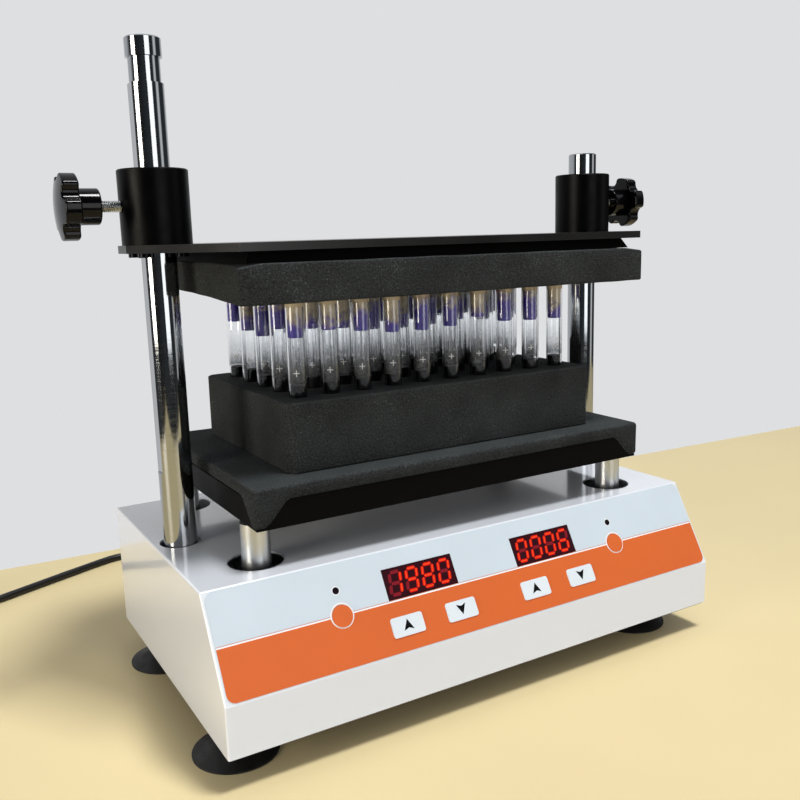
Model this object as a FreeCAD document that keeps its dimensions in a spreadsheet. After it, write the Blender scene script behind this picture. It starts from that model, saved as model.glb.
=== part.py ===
import FreeCAD, Part
import math
import os
import re
import Sketcher

# Multi-tube vortex mixer. Millimetres, +Z up, +X to the operator's right and -Y towards the operator.
# The origin lies on the table, below the middle of the housing.

doc = FreeCAD.newDocument("TubeMixer")
sheet = doc.addObject("Spreadsheet::Sheet", "Sizes")

# Driving dimensions, each with what it measures
SIZES = {
    "base_width": (426.0, "housing, side to side"),
    "base_depth": (252.0, "housing, front to back"),
    "base_top": (120.5, "table to the top of the housing"),
    "base_bottom": (23.0, "table to the lower edge of the housing"),
    "front_height": (35.5, "upright front below the sloping panel"),
    "slope_depth": (36.0, "sloping panel, measured front to back"),
    "sheet": (1.5, "steel sheet of housing, tray and upper pan"),
    "edge_round": (1.5, "bent edges of the housing"),
    "case_gap": (0.3, "between the housing and the parts slid into it"),
    "pan_sheet": (2.0, "steel sheet of the base pan"),
    "pan_reveal": (1.5, "base pan showing below the housing"),
    "pan_flange": (16.0, "upturned flange of the base pan"),
    "foot_left_inset": (21.0, "left feet, in from the left side"),
    "foot_right_inset": (42.0, "right feet, in from the right side"),
    "foot_inset": (47.0, "feet, in from the front and the back"),
    "foot_radius": (29.5, "suction cup at the table"),
    "foot_stem": (13.0, "upper neck of the suction foot, radius"),
    "foot_neck": (8.0, "table to the foot of the neck"),
    "foot_lip": (1.0, "edge of the suction cup, thickness"),
    "foot_hollow": (3.5, "depth of the hollow below the cup"),
    "screw_radius": (2.5, "shank of an M5 screw"),
    "screw_head": (4.6, "pan head of an M5 screw, radius"),
    "screw_head_height": (3.0, "pan head of an M5 screw"),
    "screw_gap": (0.1, "around a screw in its hole"),
    "foot_screw_length": (12.0, "shank of a foot screw"),
    "panel_screw_x": (180.0, "rear panel screws, from the middle"),
    "panel_screw_z": (34.0, "rear panel screws, above the table"),
    "panel_screw_length": (6.0, "shank of a rear panel screw"),
    "post_x": (193.6, "tall posts, from the middle to each side"),
    "post_y": (11.0, "tall posts, behind the middle of the housing"),
    "post_radius": (12.1, "tall posts"),
    "post_hole": (14.8, "holes in the housing for the tall posts, radius"),
    "post_spigot": (6.0, "threaded lower end of a tall post, radius"),
    "left_neck_bottom": (441.8, "table to the lower end of the swing neck"),
    "left_neck_top": (458.4, "table to the upper end of the swing neck"),
    "left_post_top": (471.0, "table to the top of the left post"),
    "neck_radius": (10.55, "swing neck of the left post"),
    "right_post_top": (404.2, "table to the top of the right post"),
    "post_chamfer": (0.8, "upper edges of the posts"),
    "flat_depth": (1.3, "clamping flat milled into the left post"),
    "flat_bottom": (175.0, "table to the lower end of that flat"),
    "tray_post_x": (162.0, "tray posts, from the middle to each side"),
    "tray_post_spread": (155.5, "tray posts, front to back"),
    "tray_post_radius": (10.2, "tray posts"),
    "tray_post_hole": (19.6, "holes in the housing for the tray posts, radius"),
    "tray_spigot": (4.0, "lower end of a tray post, radius"),
    "tray_rivet": (3.0, "upper end of a tray post, radius"),
    "spigot_gap": (0.05, "around an end of a post in its hole"),
    "deck_y": (19.0, "tray, rack and drive, behind the middle of the housing"),
    "orbit": (1.8, "radius of the shaking motion"),
    "deck_bottom": (96.0, "table to the underside of the moving plate"),
    "deck_thick": (8.0, "moving plate"),
    "deck_width": (352.0, "moving plate, side to side"),
    "deck_depth": (184.0, "moving plate, front to back"),
    "deck_ear": (34.0, "ears of the moving plate, front to back"),
    "deck_ear_reach": (207.0, "ears of the moving plate, from the middle"),
    "tray_bottom": (149.3, "table to the underside of the tray"),
    "tray_width": (339.0, "tray, side to side"),
    "tray_depth": (204.0, "tray, front to back"),
    "tray_wall": (18.4, "tray wall, from the underside"),
    "tray_slant": (23.0, "slant at each end of a tray wall"),
    "foam_gap": (0.3, "around a foam part in its metal part"),
    "lower_foam_top": (178.2, "table to the top of the lower foam"),
    "lower_foam_over": (1.6, "lower foam bulging over the tray walls"),
    "rack_width": (273.0, "foam tube rack, side to side"),
    "rack_depth": (168.0, "foam tube rack, front to back"),
    "rack_corner": (6.0, "chamfered corners of the tube rack"),
    "rack_top": (227.5, "table to the top of the tube rack"),
    "rack_floor": (5.5, "foam below the tube wells"),
    "tube_columns": (10, "tubes, side to side"),
    "tube_rows": (5, "tubes, front to back"),
    "column_pitch": (26.0, "tubes, side to side"),
    "row_pitch": (30.0, "tubes, front to back"),
    "tube_radius": (6.5, "glass tube, outside"),
    "tube_wall": (0.9, "glass tube"),
    "well_gap": (0.3, "around a tube in its well"),
    "stopper_head": (5.5, "rubber stopper above the glass"),
    "stopper_plug": (19.0, "rubber stopper inside the glass"),
    "stopper_gap": (0.05, "around a stopper in its tube"),
    "upper_foam_bottom": (296.5, "table to the underside of the upper foam"),
    "upper_foam_thick": (26.3, "upper foam"),
    "upper_foam_width": (344.0, "upper foam, side to side"),
    "upper_foam_depth": (207.0, "upper foam, front to back"),
    "pan_drop": (7.6, "shallow pan between top plate and foam"),
    "pan_inset": (8.0, "rim of that pan, in from the edge of the foam"),
    "pan_flare": (4.0, "outward slope of that pan's sides"),
    "top_plate_thick": (5.4, "top plate"),
    "top_plate_width": (340.0, "wide middle of the top plate"),
    "top_plate_depth": (206.0, "top plate, front to back"),
    "top_plate_reach": (218.2, "ends of the top plate, from the middle"),
    "top_plate_end": (22.0, "straight ends of the top plate"),
    "plate_post_gap": (0.5, "around the posts in the top plate"),
    "collar_radius": (23.75, "clamp collars"),
    "collar_height": (50.4, "clamp collars"),
    "collar_chamfer": (0.8, "upper edge of the collars"),
    "collar_fit": (0.05, "around the posts in the collars"),
    "collar_screw_ring": (18.0, "collar screws, around the post"),
    "collar_screw_length": (14.0, "shank of a collar screw"),
    "clamp_height": (26.0, "clamp screw, above the top plate"),
    "stud_radius": (4.0, "M8 stud of a clamp knob"),
    "stud_gap": (0.05, "around the stud in the collar"),
    "pad_radius": (3.6, "soft tip of a clamp screw"),
    "pad_length": (2.5, "soft tip of a clamp screw"),
    "tip_gap": (0.1, "between a clamp tip and the post"),
    "left_knob_end": (258.4, "outer face of the left knob, from the middle"),
    "right_knob_end": (251.8, "outer face of the right knob, from the middle"),
    "knob_radius": (22.0, "star knob at its lobes"),
    "knob_thick": (13.0, "star knob, head"),
    "knob_dome": (2.8, "rise of the knob's outer face"),
    "knob_scallop": (5.6, "hollow between two lobes, radius"),
    "knob_scallop_out": (0.6, "centre of that hollow, outside the lobes"),
    "left_knob_turn": (-12.0, "left knob, degrees turned"),
    "right_knob_turn": (-7.0, "right knob, degrees turned"),
    "knob_lobes": (5, "lobes of a star knob"),
    "knob_lobe_round": (3.0, "corners of the lobes"),
    "knob_edge_round": (1.2, "edges of the knob's head and boss"),
    "boss_radius": (12.0, "boss of a star knob"),
    "left_boss": (14.4, "boss of the left knob, length"),
    "right_boss": (14.4, "boss of the right knob, length"),
    "stud_depth": (9.0, "stud moulded into the knob"),
    "film_thick": (0.5, "control overlay"),
    "film_margin": (1.0, "sloping panel left bare around the overlay"),
    "film_side": (2.2, "sloping panel left bare at each side"),
    "film_corner": (6.0, "corners of the overlay"),
    "window_width": (57.6, "display window"),
    "window_height": (21.8, "display window"),
    "window_up": (47.4, "display windows, up the slope"),
    "speed_window_x": (-57.6, "speed display, from the middle"),
    "time_window_x": (54.0, "time display, from the middle"),
    "window_gap": (0.15, "around a display window in the overlay"),
    "module_inset": (1.0, "display module, smaller than its window on each side"),
    "round_key_x": (123.0, "round keys, from the middle"),
    "round_key_up": (35.1, "round keys, up the slope"),
    "round_key_radius": (7.4, "round keys"),
    "lamp_up": (52.3, "indicator lamps, up the slope"),
    "lamp_radius": (2.3, "indicator lamps"),
    "arrow_key_width": (25.2, "arrow keys"),
    "arrow_key_height": (13.6, "arrow keys"),
    "arrow_key_up": (17.9, "arrow keys, up the slope"),
    "arrow_key_pitch": (44.8, "two arrow keys of a pair"),
    "speed_keys_x": (-55.2, "speed keys, from the middle"),
    "time_keys_x": (57.0, "time keys, from the middle"),
    "key_corner": (2.0, "corners of the arrow keys"),
    "key_proud": (0.8, "keys above the overlay"),
    "key_travel": (0.4, "travel of a key"),
    "key_gap": (0.25, "around a key in the overlay"),
    "key_stem": (1.7, "stem below a key, radius"),
    "stem_gap": (0.1, "around a key's stem in its switch"),
    "stem_hole": (2.6, "hole in the housing for a key's stem, radius"),
    "board_drop": (6.5, "panel surface to the control board"),
    "board_thick": (1.6, "circuit boards"),
    "board_width": (384.0, "control board, side to side"),
    "board_height": (52.0, "control board, up the slope"),
    "board_up": (36.0, "middle of the control board, up the slope"),
    "switch_body": (6.2, "key switch, square"),
    "switch_height": (3.5, "key switch"),
    "stud_x": (176.0, "board studs, from the middle"),
    "board_stud": (2.5, "board studs, radius"),
    "vent_pitch": (20.0, "ventilation slots in the rear panel"),
    "vent_width": (6.0, "ventilation slots in the rear panel"),
    "vent_height": (34.0, "ventilation slots in the rear panel"),
    "vent_z": (74.0, "middle of the ventilation slots, above the table"),
    "inlet_x": (-132.0, "power inlet, from the middle"),
    "inlet_z": (66.0, "power inlet, above the table"),
    "inlet_width": (62.0, "flange of the power inlet"),
    "inlet_height": (32.0, "flange of the power inlet"),
    "inlet_flange": (2.5, "flange of the power inlet, thickness"),
    "inlet_depth": (24.0, "body of the power inlet"),
    "inlet_rim": (3.0, "flange past the body of the power inlet"),
    "socket_offset": (-12.0, "socket, from the middle of the inlet"),
    "socket_width": (25.0, "socket of the inlet"),
    "socket_height": (17.0, "socket of the inlet"),
    "socket_depth": (16.0, "socket of the inlet"),
    "blade_length": (13.0, "contact blades in the socket"),
    "rocker_offset": (18.0, "power switch, from the middle of the inlet"),
    "rocker_width": (13.0, "rocker of the power switch"),
    "rocker_height": (19.2, "rocker of the power switch"),
    "rocker_gap": (0.4, "around the rocker"),
    "rocker_proud": (1.0, "middle of the rocker, above the flange"),
    "rocker_rise": (2.2, "proud half of the rocker, above its middle"),
    "rocker_dip": (0.8, "sunk half of the rocker, below its middle"),
    "drive_base": (42.0, "flange of the main bearing housing, radius"),
    "drive_tube": (27.0, "main bearing housing, radius"),
    "drive_height": (40.5, "main bearing housing"),
    "flange_thick": (6.0, "flanges standing on the base pan"),
    "bearing_outer": (20.0, "main ball bearings, outside radius"),
    "bearing_width": (12.0, "main ball bearings"),
    "bearing_seat": (4.0, "base of the housing below the lower bearing"),
    "shaft_radius": (8.5, "main shaft"),
    "fit": (0.05, "running fit of shafts, pins and bearings"),
    "pulley_bottom": (68.0, "table to the belt pulleys"),
    "pulley_width": (12.0, "belt pulleys"),
    "pulley_rim": (1.2, "side rims of the pulleys, thickness"),
    "rim_height": (2.6, "side rims of the pulleys, above the belt seat"),
    "drive_pulley": (24.0, "large belt pulley, radius"),
    "motor_pulley": (16.0, "small belt pulley, radius"),
    "belt_thick": (2.0, "toothed belt"),
    "belt_gap": (0.3, "between belt and pulleys"),
    "weight_bottom": (82.5, "table to the counterweight"),
    "weight_thick": (9.0, "counterweight"),
    "weight_radius": (60.0, "counterweight"),
    "weight_hub": (15.0, "hub of the counterweight, radius"),
    "pin_radius": (7.5, "crank pin of the main shaft"),
    "deck_bearing": (16.0, "ball bearing in the moving plate, outside radius"),
    "idler_x": (112.0, "guide cranks, from the middle"),
    "idler_base": (28.0, "flange of a guide bearing, radius"),
    "idler_tube": (18.0, "guide bearing, radius"),
    "idler_height": (36.0, "guide bearing"),
    "idler_journal": (8.0, "lower journal of a guide crank, radius"),
    "idler_web": (14.0, "web of a guide crank, radius"),
    "idler_web_thick": (8.0, "web of a guide crank"),
    "idler_pin": (6.0, "pin of a guide crank, radius"),
    "idler_gap": (0.3, "around a guide pin in the moving plate"),
    "idler_bolt_ring": (23.0, "guide bearing bolts, from its axis"),
    "drive_bolt_ring": (34.5, "main bearing housing bolts, from its axis"),
    "motor_x": (-66.0, "motor, from the middle"),
    "motor_back": (42.0, "motor, in from the back"),
    "motor_radius": (31.0, "motor"),
    "motor_height": (40.0, "motor"),
    "motor_base": (37.0, "foot flange of the motor, radius"),
    "motor_bolt_ring": (33.9, "motor bolts, from its axis"),
    "motor_shaft": (4.0, "motor shaft, radius"),
    "power_x": (112.0, "power board, from the middle"),
    "power_back": (40.0, "power board's middle, in from the back"),
    "power_width": (130.0, "power board, side to side"),
    "power_depth": (60.0, "power board, front to back"),
    "spacer_height": (6.0, "spacers below the power board"),
    "spacer_radius": (3.0, "spacers below the power board"),
    "cord_radius": (3.5, "mains cord"),
    "coil_x": (-370.0, "coil of spare cord, from the middle"),
    "coil_y": (306.0, "coil of spare cord, behind the middle"),
    "coil_outer": (50.5, "coil of spare cord, outside radius"),
    "coil_inner": (29.5, "coil of spare cord, inside radius"),
    "coil_height": (14.0, "coil of spare cord"),
    "tie_width": (9.0, "cord tie"),
    "tie_thick": (1.2, "cord tie"),
    "tie_gap": (0.5, "around the coil in its tie"),
}

for row, (alias, (size, note)) in enumerate(SIZES.items(), start=1):
    sheet.set("A%d" % row, alias.replace("_", " "))
    sheet.set("B%d" % row, str(size))
    sheet.set("C%d" % row, note)
    sheet.setAlias("B%d" % row, alias)
doc.recompute()


def cells(text):
    """An expression in which each size is read from the sheet."""
    return re.sub(r"[a-z_]+", lambda word: "Sizes." + word[0] if word[0] in SIZES else word[0], text)


def size(alias):
    """The number that the sheet holds for one size."""
    return float(sheet.get(alias))


def bind(item, bound):
    """Bind properties of an object to expressions of sizes."""
    for prop, text in bound.items():
        item.setExpression(prop, cells(text))
    return item


def at(item, x="0", y="0", z="0"):
    return bind(item, {"Placement.Base.x": x, "Placement.Base.y": y, "Placement.Base.z": z})


# Directions in which a round part can lie
ALONG = {
    "x": FreeCAD.Rotation(FreeCAD.Vector(0, 1, 0), 90),
    "-x": FreeCAD.Rotation(FreeCAD.Vector(0, 1, 0), -90),
    "y": FreeCAD.Rotation(FreeCAD.Vector(1, 0, 0), -90),
    "z": FreeCAD.Rotation(),
}


def block(label, x, y, z):
    """A box between pairs of expressions."""
    item = doc.addObject("Part::Box", label)
    spans = {"Length": x, "Width": y, "Height": z}
    bind(item, {prop: "(%s) - (%s)" % (high, low) for prop, (low, high) in spans.items()})
    return at(item, x[0], y[0], z[0])


def rod(label, radius, length, x="0", y="0", z="0", along="z"):
    """A cylinder that starts at a point."""
    item = doc.addObject("Part::Cylinder", label)
    item.Placement = FreeCAD.Placement(FreeCAD.Vector(), ALONG[along])
    bind(item, {"Radius": radius, "Height": length})
    return at(item, x, y, z)


def fuse(label, *items):
    item = doc.addObject("Part::MultiFuse", label)
    item.Shapes = list(items)
    return item


def cut(label, base, *tools):
    """The base with each of the tools taken out."""
    item = doc.addObject("Part::Cut", label)
    item.Base = base
    item.Tool = tools[0] if len(tools) == 1 else fuse(label + "_tools", *tools)
    return item


def body(label):
    return doc.addObject("PartDesign::Body", label)


def sketch(owner, role, offset="0"):
    """An empty sketch on one of the body's own planes."""
    item = owner.newObject("Sketcher::SketchObject", owner.Name + "_sketch")
    plane = next(f for f in owner.Origin.OriginFeatures if f.Role == role)
    item.AttachmentSupport = [(plane, "")]
    item.MapMode = "FlatFace"
    return bind(item, {"AttachmentOffset.Base.z": offset})


def fix(item, geometry, point, x, y):
    """Hold one point of a sketch at a pair of expressions."""
    for kind, text in (("DistanceX", x), ("DistanceY", y)):
        number = item.addConstraint(Sketcher.Constraint(kind, -1, 1, geometry, point, 1.0))
        item.renameConstraint(number, "%s_%d" % (kind[-1].lower(), number))
        item.setExpression("Constraints.%s_%d" % (kind[-1].lower(), number), cells(text))


def path(item, points, closed=False):
    """Straight lines through pairs of expressions."""
    first = item.GeometryCount
    turn = 2 * math.pi / len(points)
    spots = [FreeCAD.Vector(9 * math.cos(i * turn), 9 * math.sin(i * turn), 0) for i in range(len(points))]
    runs = list(zip(spots, spots[1:] + spots[:1]))[:None if closed else -1]
    for start, end in runs:
        item.addGeometry(Part.LineSegment(start, end), False)
    for i in range(len(runs) if closed else len(runs) - 1):
        item.addConstraint(Sketcher.Constraint("Coincident", first + i, 2, first + (i + 1) % len(runs), 1))
    for i, (x, y) in enumerate(points):
        on_last = i == len(runs)
        fix(item, first + i - on_last, 2 if on_last else 1, x, y)
    return item


def outline(item, points):
    """A closed outline of straight lines through pairs of expressions."""
    return path(item, points, closed=True)


def circle(item, radius, x="0", y="0"):
    number = item.addGeometry(Part.Circle(FreeCAD.Vector(1, 1, 0), FreeCAD.Vector(0, 0, 1), 1), False)
    wide = item.addConstraint(Sketcher.Constraint("Radius", number, 1.0))
    item.renameConstraint(wide, "radius_%d" % wide)
    item.setExpression("Constraints.radius_%d" % wide, cells(radius))
    fix(item, number, 3, x, y)
    return item


def rectangle(item, x, y):
    return outline(item, [(x[0], y[0]), (x[1], y[0]), (x[1], y[1]), (x[0], y[1])])


def feature(owner, kind, profile, bound, **settings):
    """A sketch-based feature of a body, which becomes its tip."""
    item = owner.newObject("PartDesign::" + kind, owner.Name + "_" + kind.lower())
    item.Profile = profile
    for prop, setting in settings.items():
        setattr(item, prop, setting)
    bind(item, bound)
    profile.Visibility = False
    owner.Tip = item
    return item


def pad(owner, profile, length, **settings):
    return feature(owner, "Pad", profile, {"Length": length}, **settings)


def pocket(owner, profile, length, **settings):
    return feature(owner, "Pocket", profile, {"Length": length}, **settings)


def spun(label, points):
    """A body turned about its own upright axis from an outline of radii and heights."""
    owner = body(label)
    profile = outline(sketch(owner, "XZ_Plane"), points)
    feature(owner, "Revolution", profile, {}, ReferenceAxis=(profile, ["V_Axis"]), Angle=360)
    return owner


def rounded(owner, radius, wanted, kind="Fillet"):
    """Round or chamfer the edges of a body that pass a test."""
    doc.recompute()
    base = owner.Tip
    names = ["Edge%d" % (i + 1) for i, edge in enumerate(base.Shape.Edges) if wanted(edge)]
    item = owner.newObject("PartDesign::" + kind, owner.Name + "_" + kind.lower())
    item.Base = (base, names)
    bind(item, {"Radius" if kind == "Fillet" else "Size": radius})
    owner.Tip = item
    return item


def upright(edge):
    """Whether an edge runs straight up."""
    box = edge.BoundBox
    return max(box.XLength, box.YLength) < 1e-3 < box.ZLength


def group(label, pattern, places):
    """Separate copies of one solid, as one part."""
    doc.recompute()
    copies = [pattern.Shape.copy() for _ in places]
    for copy, place in zip(copies, places):
        copy.translate(FreeCAD.Vector(*place))
    item = doc.addObject("Part::Feature", label)
    item.Shape = Part.makeCompound(copies)
    return item


# Places that several parts share
SIDES = {"left": -1, "right": 1}
LEFT, RIGHT = "-base_width/2", "base_width/2"
FRONT, BACK = "-base_depth/2", "base_depth/2"
SLOPE_FOOT = "(base_bottom + front_height)"
SLOPE_RISE = "(base_top - base_bottom - front_height)"
SLOPE_LENGTH = "sqrt(slope_depth^2 + %s^2)" % SLOPE_RISE
PAN_BOTTOM = "(base_bottom - pan_reveal)"
PAN_TOP = "(base_bottom - pan_reveal + pan_sheet)"
DECK_TOP = "(deck_bottom + deck_thick)"
DRIVE_Y = "(deck_y + orbit)"
TRAY_FLOOR = "(tray_bottom + sheet)"
UPPER_FOAM_TOP = "(upper_foam_bottom + upper_foam_thick)"
PLATE_BOTTOM = "(upper_foam_bottom + upper_foam_thick + pan_drop)"
PLATE_TOP = "(upper_foam_bottom + upper_foam_thick + pan_drop + top_plate_thick)"
CLAMP_Z = "(%s + clamp_height)" % PLATE_TOP
FEET = [(sx, sy) for sx in (-1, 1) for sy in (-1, 1)]
FOOT_X = {-1: "-(base_width/2 - foot_left_inset)", 1: "base_width/2 - foot_right_inset"}
FOOT_Y = "(base_depth/2 - foot_inset)"
MOTOR_Y = "(base_depth/2 - motor_back)"
POWER_Y = "(base_depth/2 - power_back)"


def foot_places(z):
    half_width = size("base_width") / 2
    half_depth = size("base_depth") / 2 - size("foot_inset")
    places = {-1: size("foot_left_inset") - half_width, 1: half_width - size("foot_right_inset")}
    return [(places[sx], sy * half_depth, z) for sx, sy in FEET]


def on_slope(item):
    """Place a part, drawn flat, on the sloping panel: its y goes up the slope and its z outwards."""
    item.Placement = FreeCAD.Placement(FreeCAD.Vector(), FreeCAD.Rotation(FreeCAD.Vector(1, 0, 0), 60))
    at(item, "0", FRONT, SLOPE_FOOT)
    return bind(item, {"Placement.Rotation.Angle": "atan(%s / slope_depth)" % SLOPE_RISE})


def around(ring, count, start=0.0):
    """Places spaced evenly on a circle."""
    turn = 2 * math.pi / count
    return [(ring * math.cos(start + i * turn), ring * math.sin(start + i * turn)) for i in range(count)]


# Bolts that hold the drive to the base pan: middle x, middle y, ring, number and first angle
def bolt_places():
    spots = [("0", DRIVE_Y, "drive_bolt_ring", 4, 45), ("motor_x", MOTOR_Y, "motor_bolt_ring", 3, 90)]
    spots += [("%d*idler_x" % side, DRIVE_Y, "idler_bolt_ring", 2, 90) for side in SIDES.values()]
    return [
        ("%s + %s*cos(%g)" % (x, ring, first + i * 360 / count),
         "%s + %s*sin(%g)" % (y, ring, first + i * 360 / count))
        for x, y, ring, count, first in spots
        for i in range(count)
    ]


# Housing

def base_pan():
    owner = body("base_pan")
    side = "(base_width/2 - sheet - case_gap)"
    front = "(base_depth/2 - sheet - case_gap)"
    back = "(base_depth/2 - sheet)"
    floor = sketch(owner, "XY_Plane", PAN_BOTTOM)
    rectangle(floor, ("-" + side, side), ("-" + front, back))
    pad(owner, floor, "pan_sheet + pan_flange")
    hollow = sketch(owner, "XY_Plane", PAN_TOP + " + pan_flange")
    inner = ("-%s + pan_sheet" % side, "%s - pan_sheet" % side)
    rectangle(hollow, inner, ("-%s + pan_sheet" % front, "%s - pan_sheet" % back))
    pocket(owner, hollow, "pan_flange")
    holes = sketch(owner, "XY_Plane", PAN_TOP)
    for sx, sy in FEET:
        circle(holes, "screw_radius + screw_gap", FOOT_X[sx], "%d*%s" % (sy, FOOT_Y))
    for x, y in bolt_places():
        circle(holes, "screw_radius + screw_gap", x, y)
    pocket(owner, holes, "pan_sheet")
    screws = [
        rod("pan_screw_hole", "screw_radius + screw_gap", "2*panel_screw_length",
            "%d*panel_screw_x" % side_sign,
            back + " - panel_screw_length", "panel_screw_z", along="y")
        for side_sign in SIDES.values()
    ]
    return cut("base_pan_drilled", owner, *screws)


def housing_shell():
    owner = body("housing_blank")
    profile = sketch(owner, "YZ_Plane")
    outline(profile, [
        (FRONT, "base_bottom"),
        (BACK, "base_bottom"),
        (BACK, "base_top"),
        (FRONT + " + slope_depth", "base_top"),
        (FRONT, SLOPE_FOOT),
    ])
    pad(owner, profile, "base_width", Midplane=True)

    def bent(edge):
        box = edge.BoundBox
        low = box.ZMax < size("base_bottom") + 1e-3
        rear = box.YMin > size("base_depth") / 2 - 1e-3
        return not low and not rear

    rounded(owner, "edge_round", bent)
    lean = "(sheet * (%s - %s) / slope_depth)" % (SLOPE_RISE, SLOPE_LENGTH)
    back_in = "(sheet * (%s - slope_depth) / %s)" % (SLOPE_LENGTH, SLOPE_RISE)
    hollow = sketch(owner, "YZ_Plane")
    outline(hollow, [
        (FRONT + " + sheet", "base_bottom - sheet"),
        (BACK + " + sheet", "base_bottom - sheet"),
        (BACK + " + sheet", "base_top - sheet"),
        (FRONT + " + slope_depth + " + back_in, "base_top - sheet"),
        (FRONT + " + sheet", SLOPE_FOOT + " + " + lean),
    ])
    pocket(owner, hollow, "base_width - 2*sheet", Midplane=True)
    holes = sketch(owner, "XY_Plane", "base_top")
    for side in SIDES.values():
        circle(holes, "post_hole", "%d*post_x" % side, "post_y + orbit")
        for row in (-1, 1):
            circle(holes, "tray_post_hole", "%d*tray_post_x" % side,
                   "%s + %d*tray_post_spread/2" % (DRIVE_Y, row))
    pocket(owner, holes, "2*sheet")
    studs = [
        rod("board_stud", "board_stud", "board_drop - sheet/2", "%g*stud_x" % sx,
            "board_up + %d*(board_height/2 - 2*board_stud)" % sy, "-board_drop")
        for sx in (-1, 0, 1)
        for sy in (-1, 1)
    ]
    studded = fuse("housing_studded", owner, on_slope(fuse("board_studs", *studs)))
    openings = [
        block("display_cutout", around_middle(x, "window_width/2 - module_inset + case_gap"),
              around_middle("window_up", "window_height/2 - module_inset + case_gap"),
              ("-2*sheet", "sheet"))
        for x in ("speed_window_x", "time_window_x")
    ]
    for x, y in KEY_PLACES.values():
        openings.append(rod("stem_cutout", "stem_hole", "3*sheet", x, y, "-2*sheet"))
    for side in SIDES.values():
        openings.append(rod("lamp_cutout", "lamp_radius + window_gap", "3*sheet", "%d*round_key_x" % side,
                            "lamp_up", "-2*sheet"))
    return cut("housing_shell", studded, on_slope(fuse("housing_openings", *openings)))


def rear_panel():
    """Flat sheet that closes the back, with the cut-out for the power inlet."""
    side = "(base_width/2 - sheet - case_gap)"
    sheet_metal = block("rear_sheet", ("-" + side, side), (BACK + " - sheet", BACK),
                        ("base_bottom", "base_top - sheet - case_gap"))
    opening = block("inlet_cutout",
                    ("inlet_x - inlet_width/2 + inlet_rim - window_gap",
                     "inlet_x + inlet_width/2 - inlet_rim + window_gap"),
                    (BACK + " - 2*sheet", BACK + " + sheet"),
                    ("inlet_z - inlet_height/2 + inlet_rim - window_gap",
                     "inlet_z + inlet_height/2 - inlet_rim + window_gap"))
    holes = [
        rod("panel_screw_hole", "screw_radius + screw_gap", "3*sheet", "%d*panel_screw_x" % side_sign,
            BACK + " - 2*sheet", "panel_screw_z", along="y")
        for side_sign in SIDES.values()
    ]
    slots = [
        block("vent_slot", ("%d*vent_pitch - vent_width/2" % i, "%d*vent_pitch + vent_width/2" % i),
              (BACK + " - 2*sheet", BACK + " + sheet"),
              ("vent_z - vent_height/2", "vent_z + vent_height/2"))
        for i in range(1, 9)
    ]
    return cut("rear_panel", sheet_metal, opening, *holes, *slots)


def screw(label, length, head="screw_head", head_height="screw_head_height", along="z"):
    """Pan head screw: the shank runs from the origin against the given direction."""
    shank = rod(label + "_shank", "screw_radius", length + " + " + head_height + "/2", z="-(%s)" % length)
    top = rod(label + "_head", head, head_height)
    recess = block(label + "_slot", ("-screw_radius/3", "screw_radius/3"),
                   ("-screw_radius", "screw_radius"),
                   (head_height + "/2", "2*" + head_height))
    cross = block(label + "_cross", ("-screw_radius", "screw_radius"),
                  ("-screw_radius/3", "screw_radius/3"),
                  (head_height + "/2", "2*" + head_height))
    whole = cut(label, fuse(label + "_blank", shank, top), recess, cross)
    whole.Placement = FreeCAD.Placement(FreeCAD.Vector(), ALONG[along])
    return whole


def rear_panel_screws():
    pattern = screw("panel_screw", "panel_screw_length", along="y")
    back = size("base_depth") / 2
    return group("rear_panel_screws", pattern,
                 [(side * size("panel_screw_x"), back, size("panel_screw_z")) for side in SIDES.values()])


# Feet

def suction_feet():
    top = PAN_BOTTOM
    pattern = spun("foot_pattern", [
        ("screw_radius + screw_gap", "foot_hollow + foot_lip"),
        ("foot_radius - 3*foot_lip", "0"),
        ("foot_radius", "0"),
        ("foot_radius", "foot_lip"),
        ("foot_stem + foot_lip", "foot_neck"),
        ("foot_stem", "foot_neck + foot_lip"),
        ("foot_stem", top),
        ("screw_radius + screw_gap", top),
    ])
    return group("suction_feet", pattern, foot_places(0))


def foot_screws():
    pattern = screw("foot_screw", "foot_screw_length")
    z = size("base_bottom") - size("pan_reveal") + size("pan_sheet")
    return group("foot_screws", pattern, foot_places(z))


# Control panel, drawn flat and then laid on the slope

KEY_PLACES = {
    "short_mix_key": ("-round_key_x", "round_key_up"),
    "start_key": ("round_key_x", "round_key_up"),
    "speed_up_key": ("speed_keys_x - arrow_key_pitch/2", "arrow_key_up"),
    "speed_down_key": ("speed_keys_x + arrow_key_pitch/2", "arrow_key_up"),
    "time_up_key": ("time_keys_x - arrow_key_pitch/2", "arrow_key_up"),
    "time_down_key": ("time_keys_x + arrow_key_pitch/2", "arrow_key_up"),
}


def around_middle(middle, half):
    return "%s - (%s)" % (middle, half), "%s + (%s)" % (middle, half)


def control_overlay():
    owner = body("overlay_blank")
    side = "(base_width/2 - film_side)"
    profile = sketch(owner, "XY_Plane")
    rectangle(profile, ("-" + side, side), ("film_margin", SLOPE_LENGTH + " - film_margin"))
    pad(owner, profile, "film_thick")
    rounded(owner, "film_corner", upright)
    openings = sketch(owner, "XY_Plane", "film_thick")
    for x in ("speed_window_x", "time_window_x"):
        rectangle(openings, around_middle(x, "window_width/2 + window_gap"),
                  around_middle("window_up", "window_height/2 + window_gap"))
    for name, (x, y) in KEY_PLACES.items():
        if x.endswith("round_key_x"):
            circle(openings, "round_key_radius + key_gap", x, y)
        else:
            rectangle(openings, around_middle(x, "arrow_key_width/2 + key_gap"),
                      around_middle(y, "arrow_key_height/2 + key_gap"))
    for side_sign in SIDES.values():
        circle(openings, "lamp_radius + window_gap", "%d*round_key_x" % side_sign, "lamp_up")
    pocket(owner, openings, "2*film_thick")
    return on_slope(owner)


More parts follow.
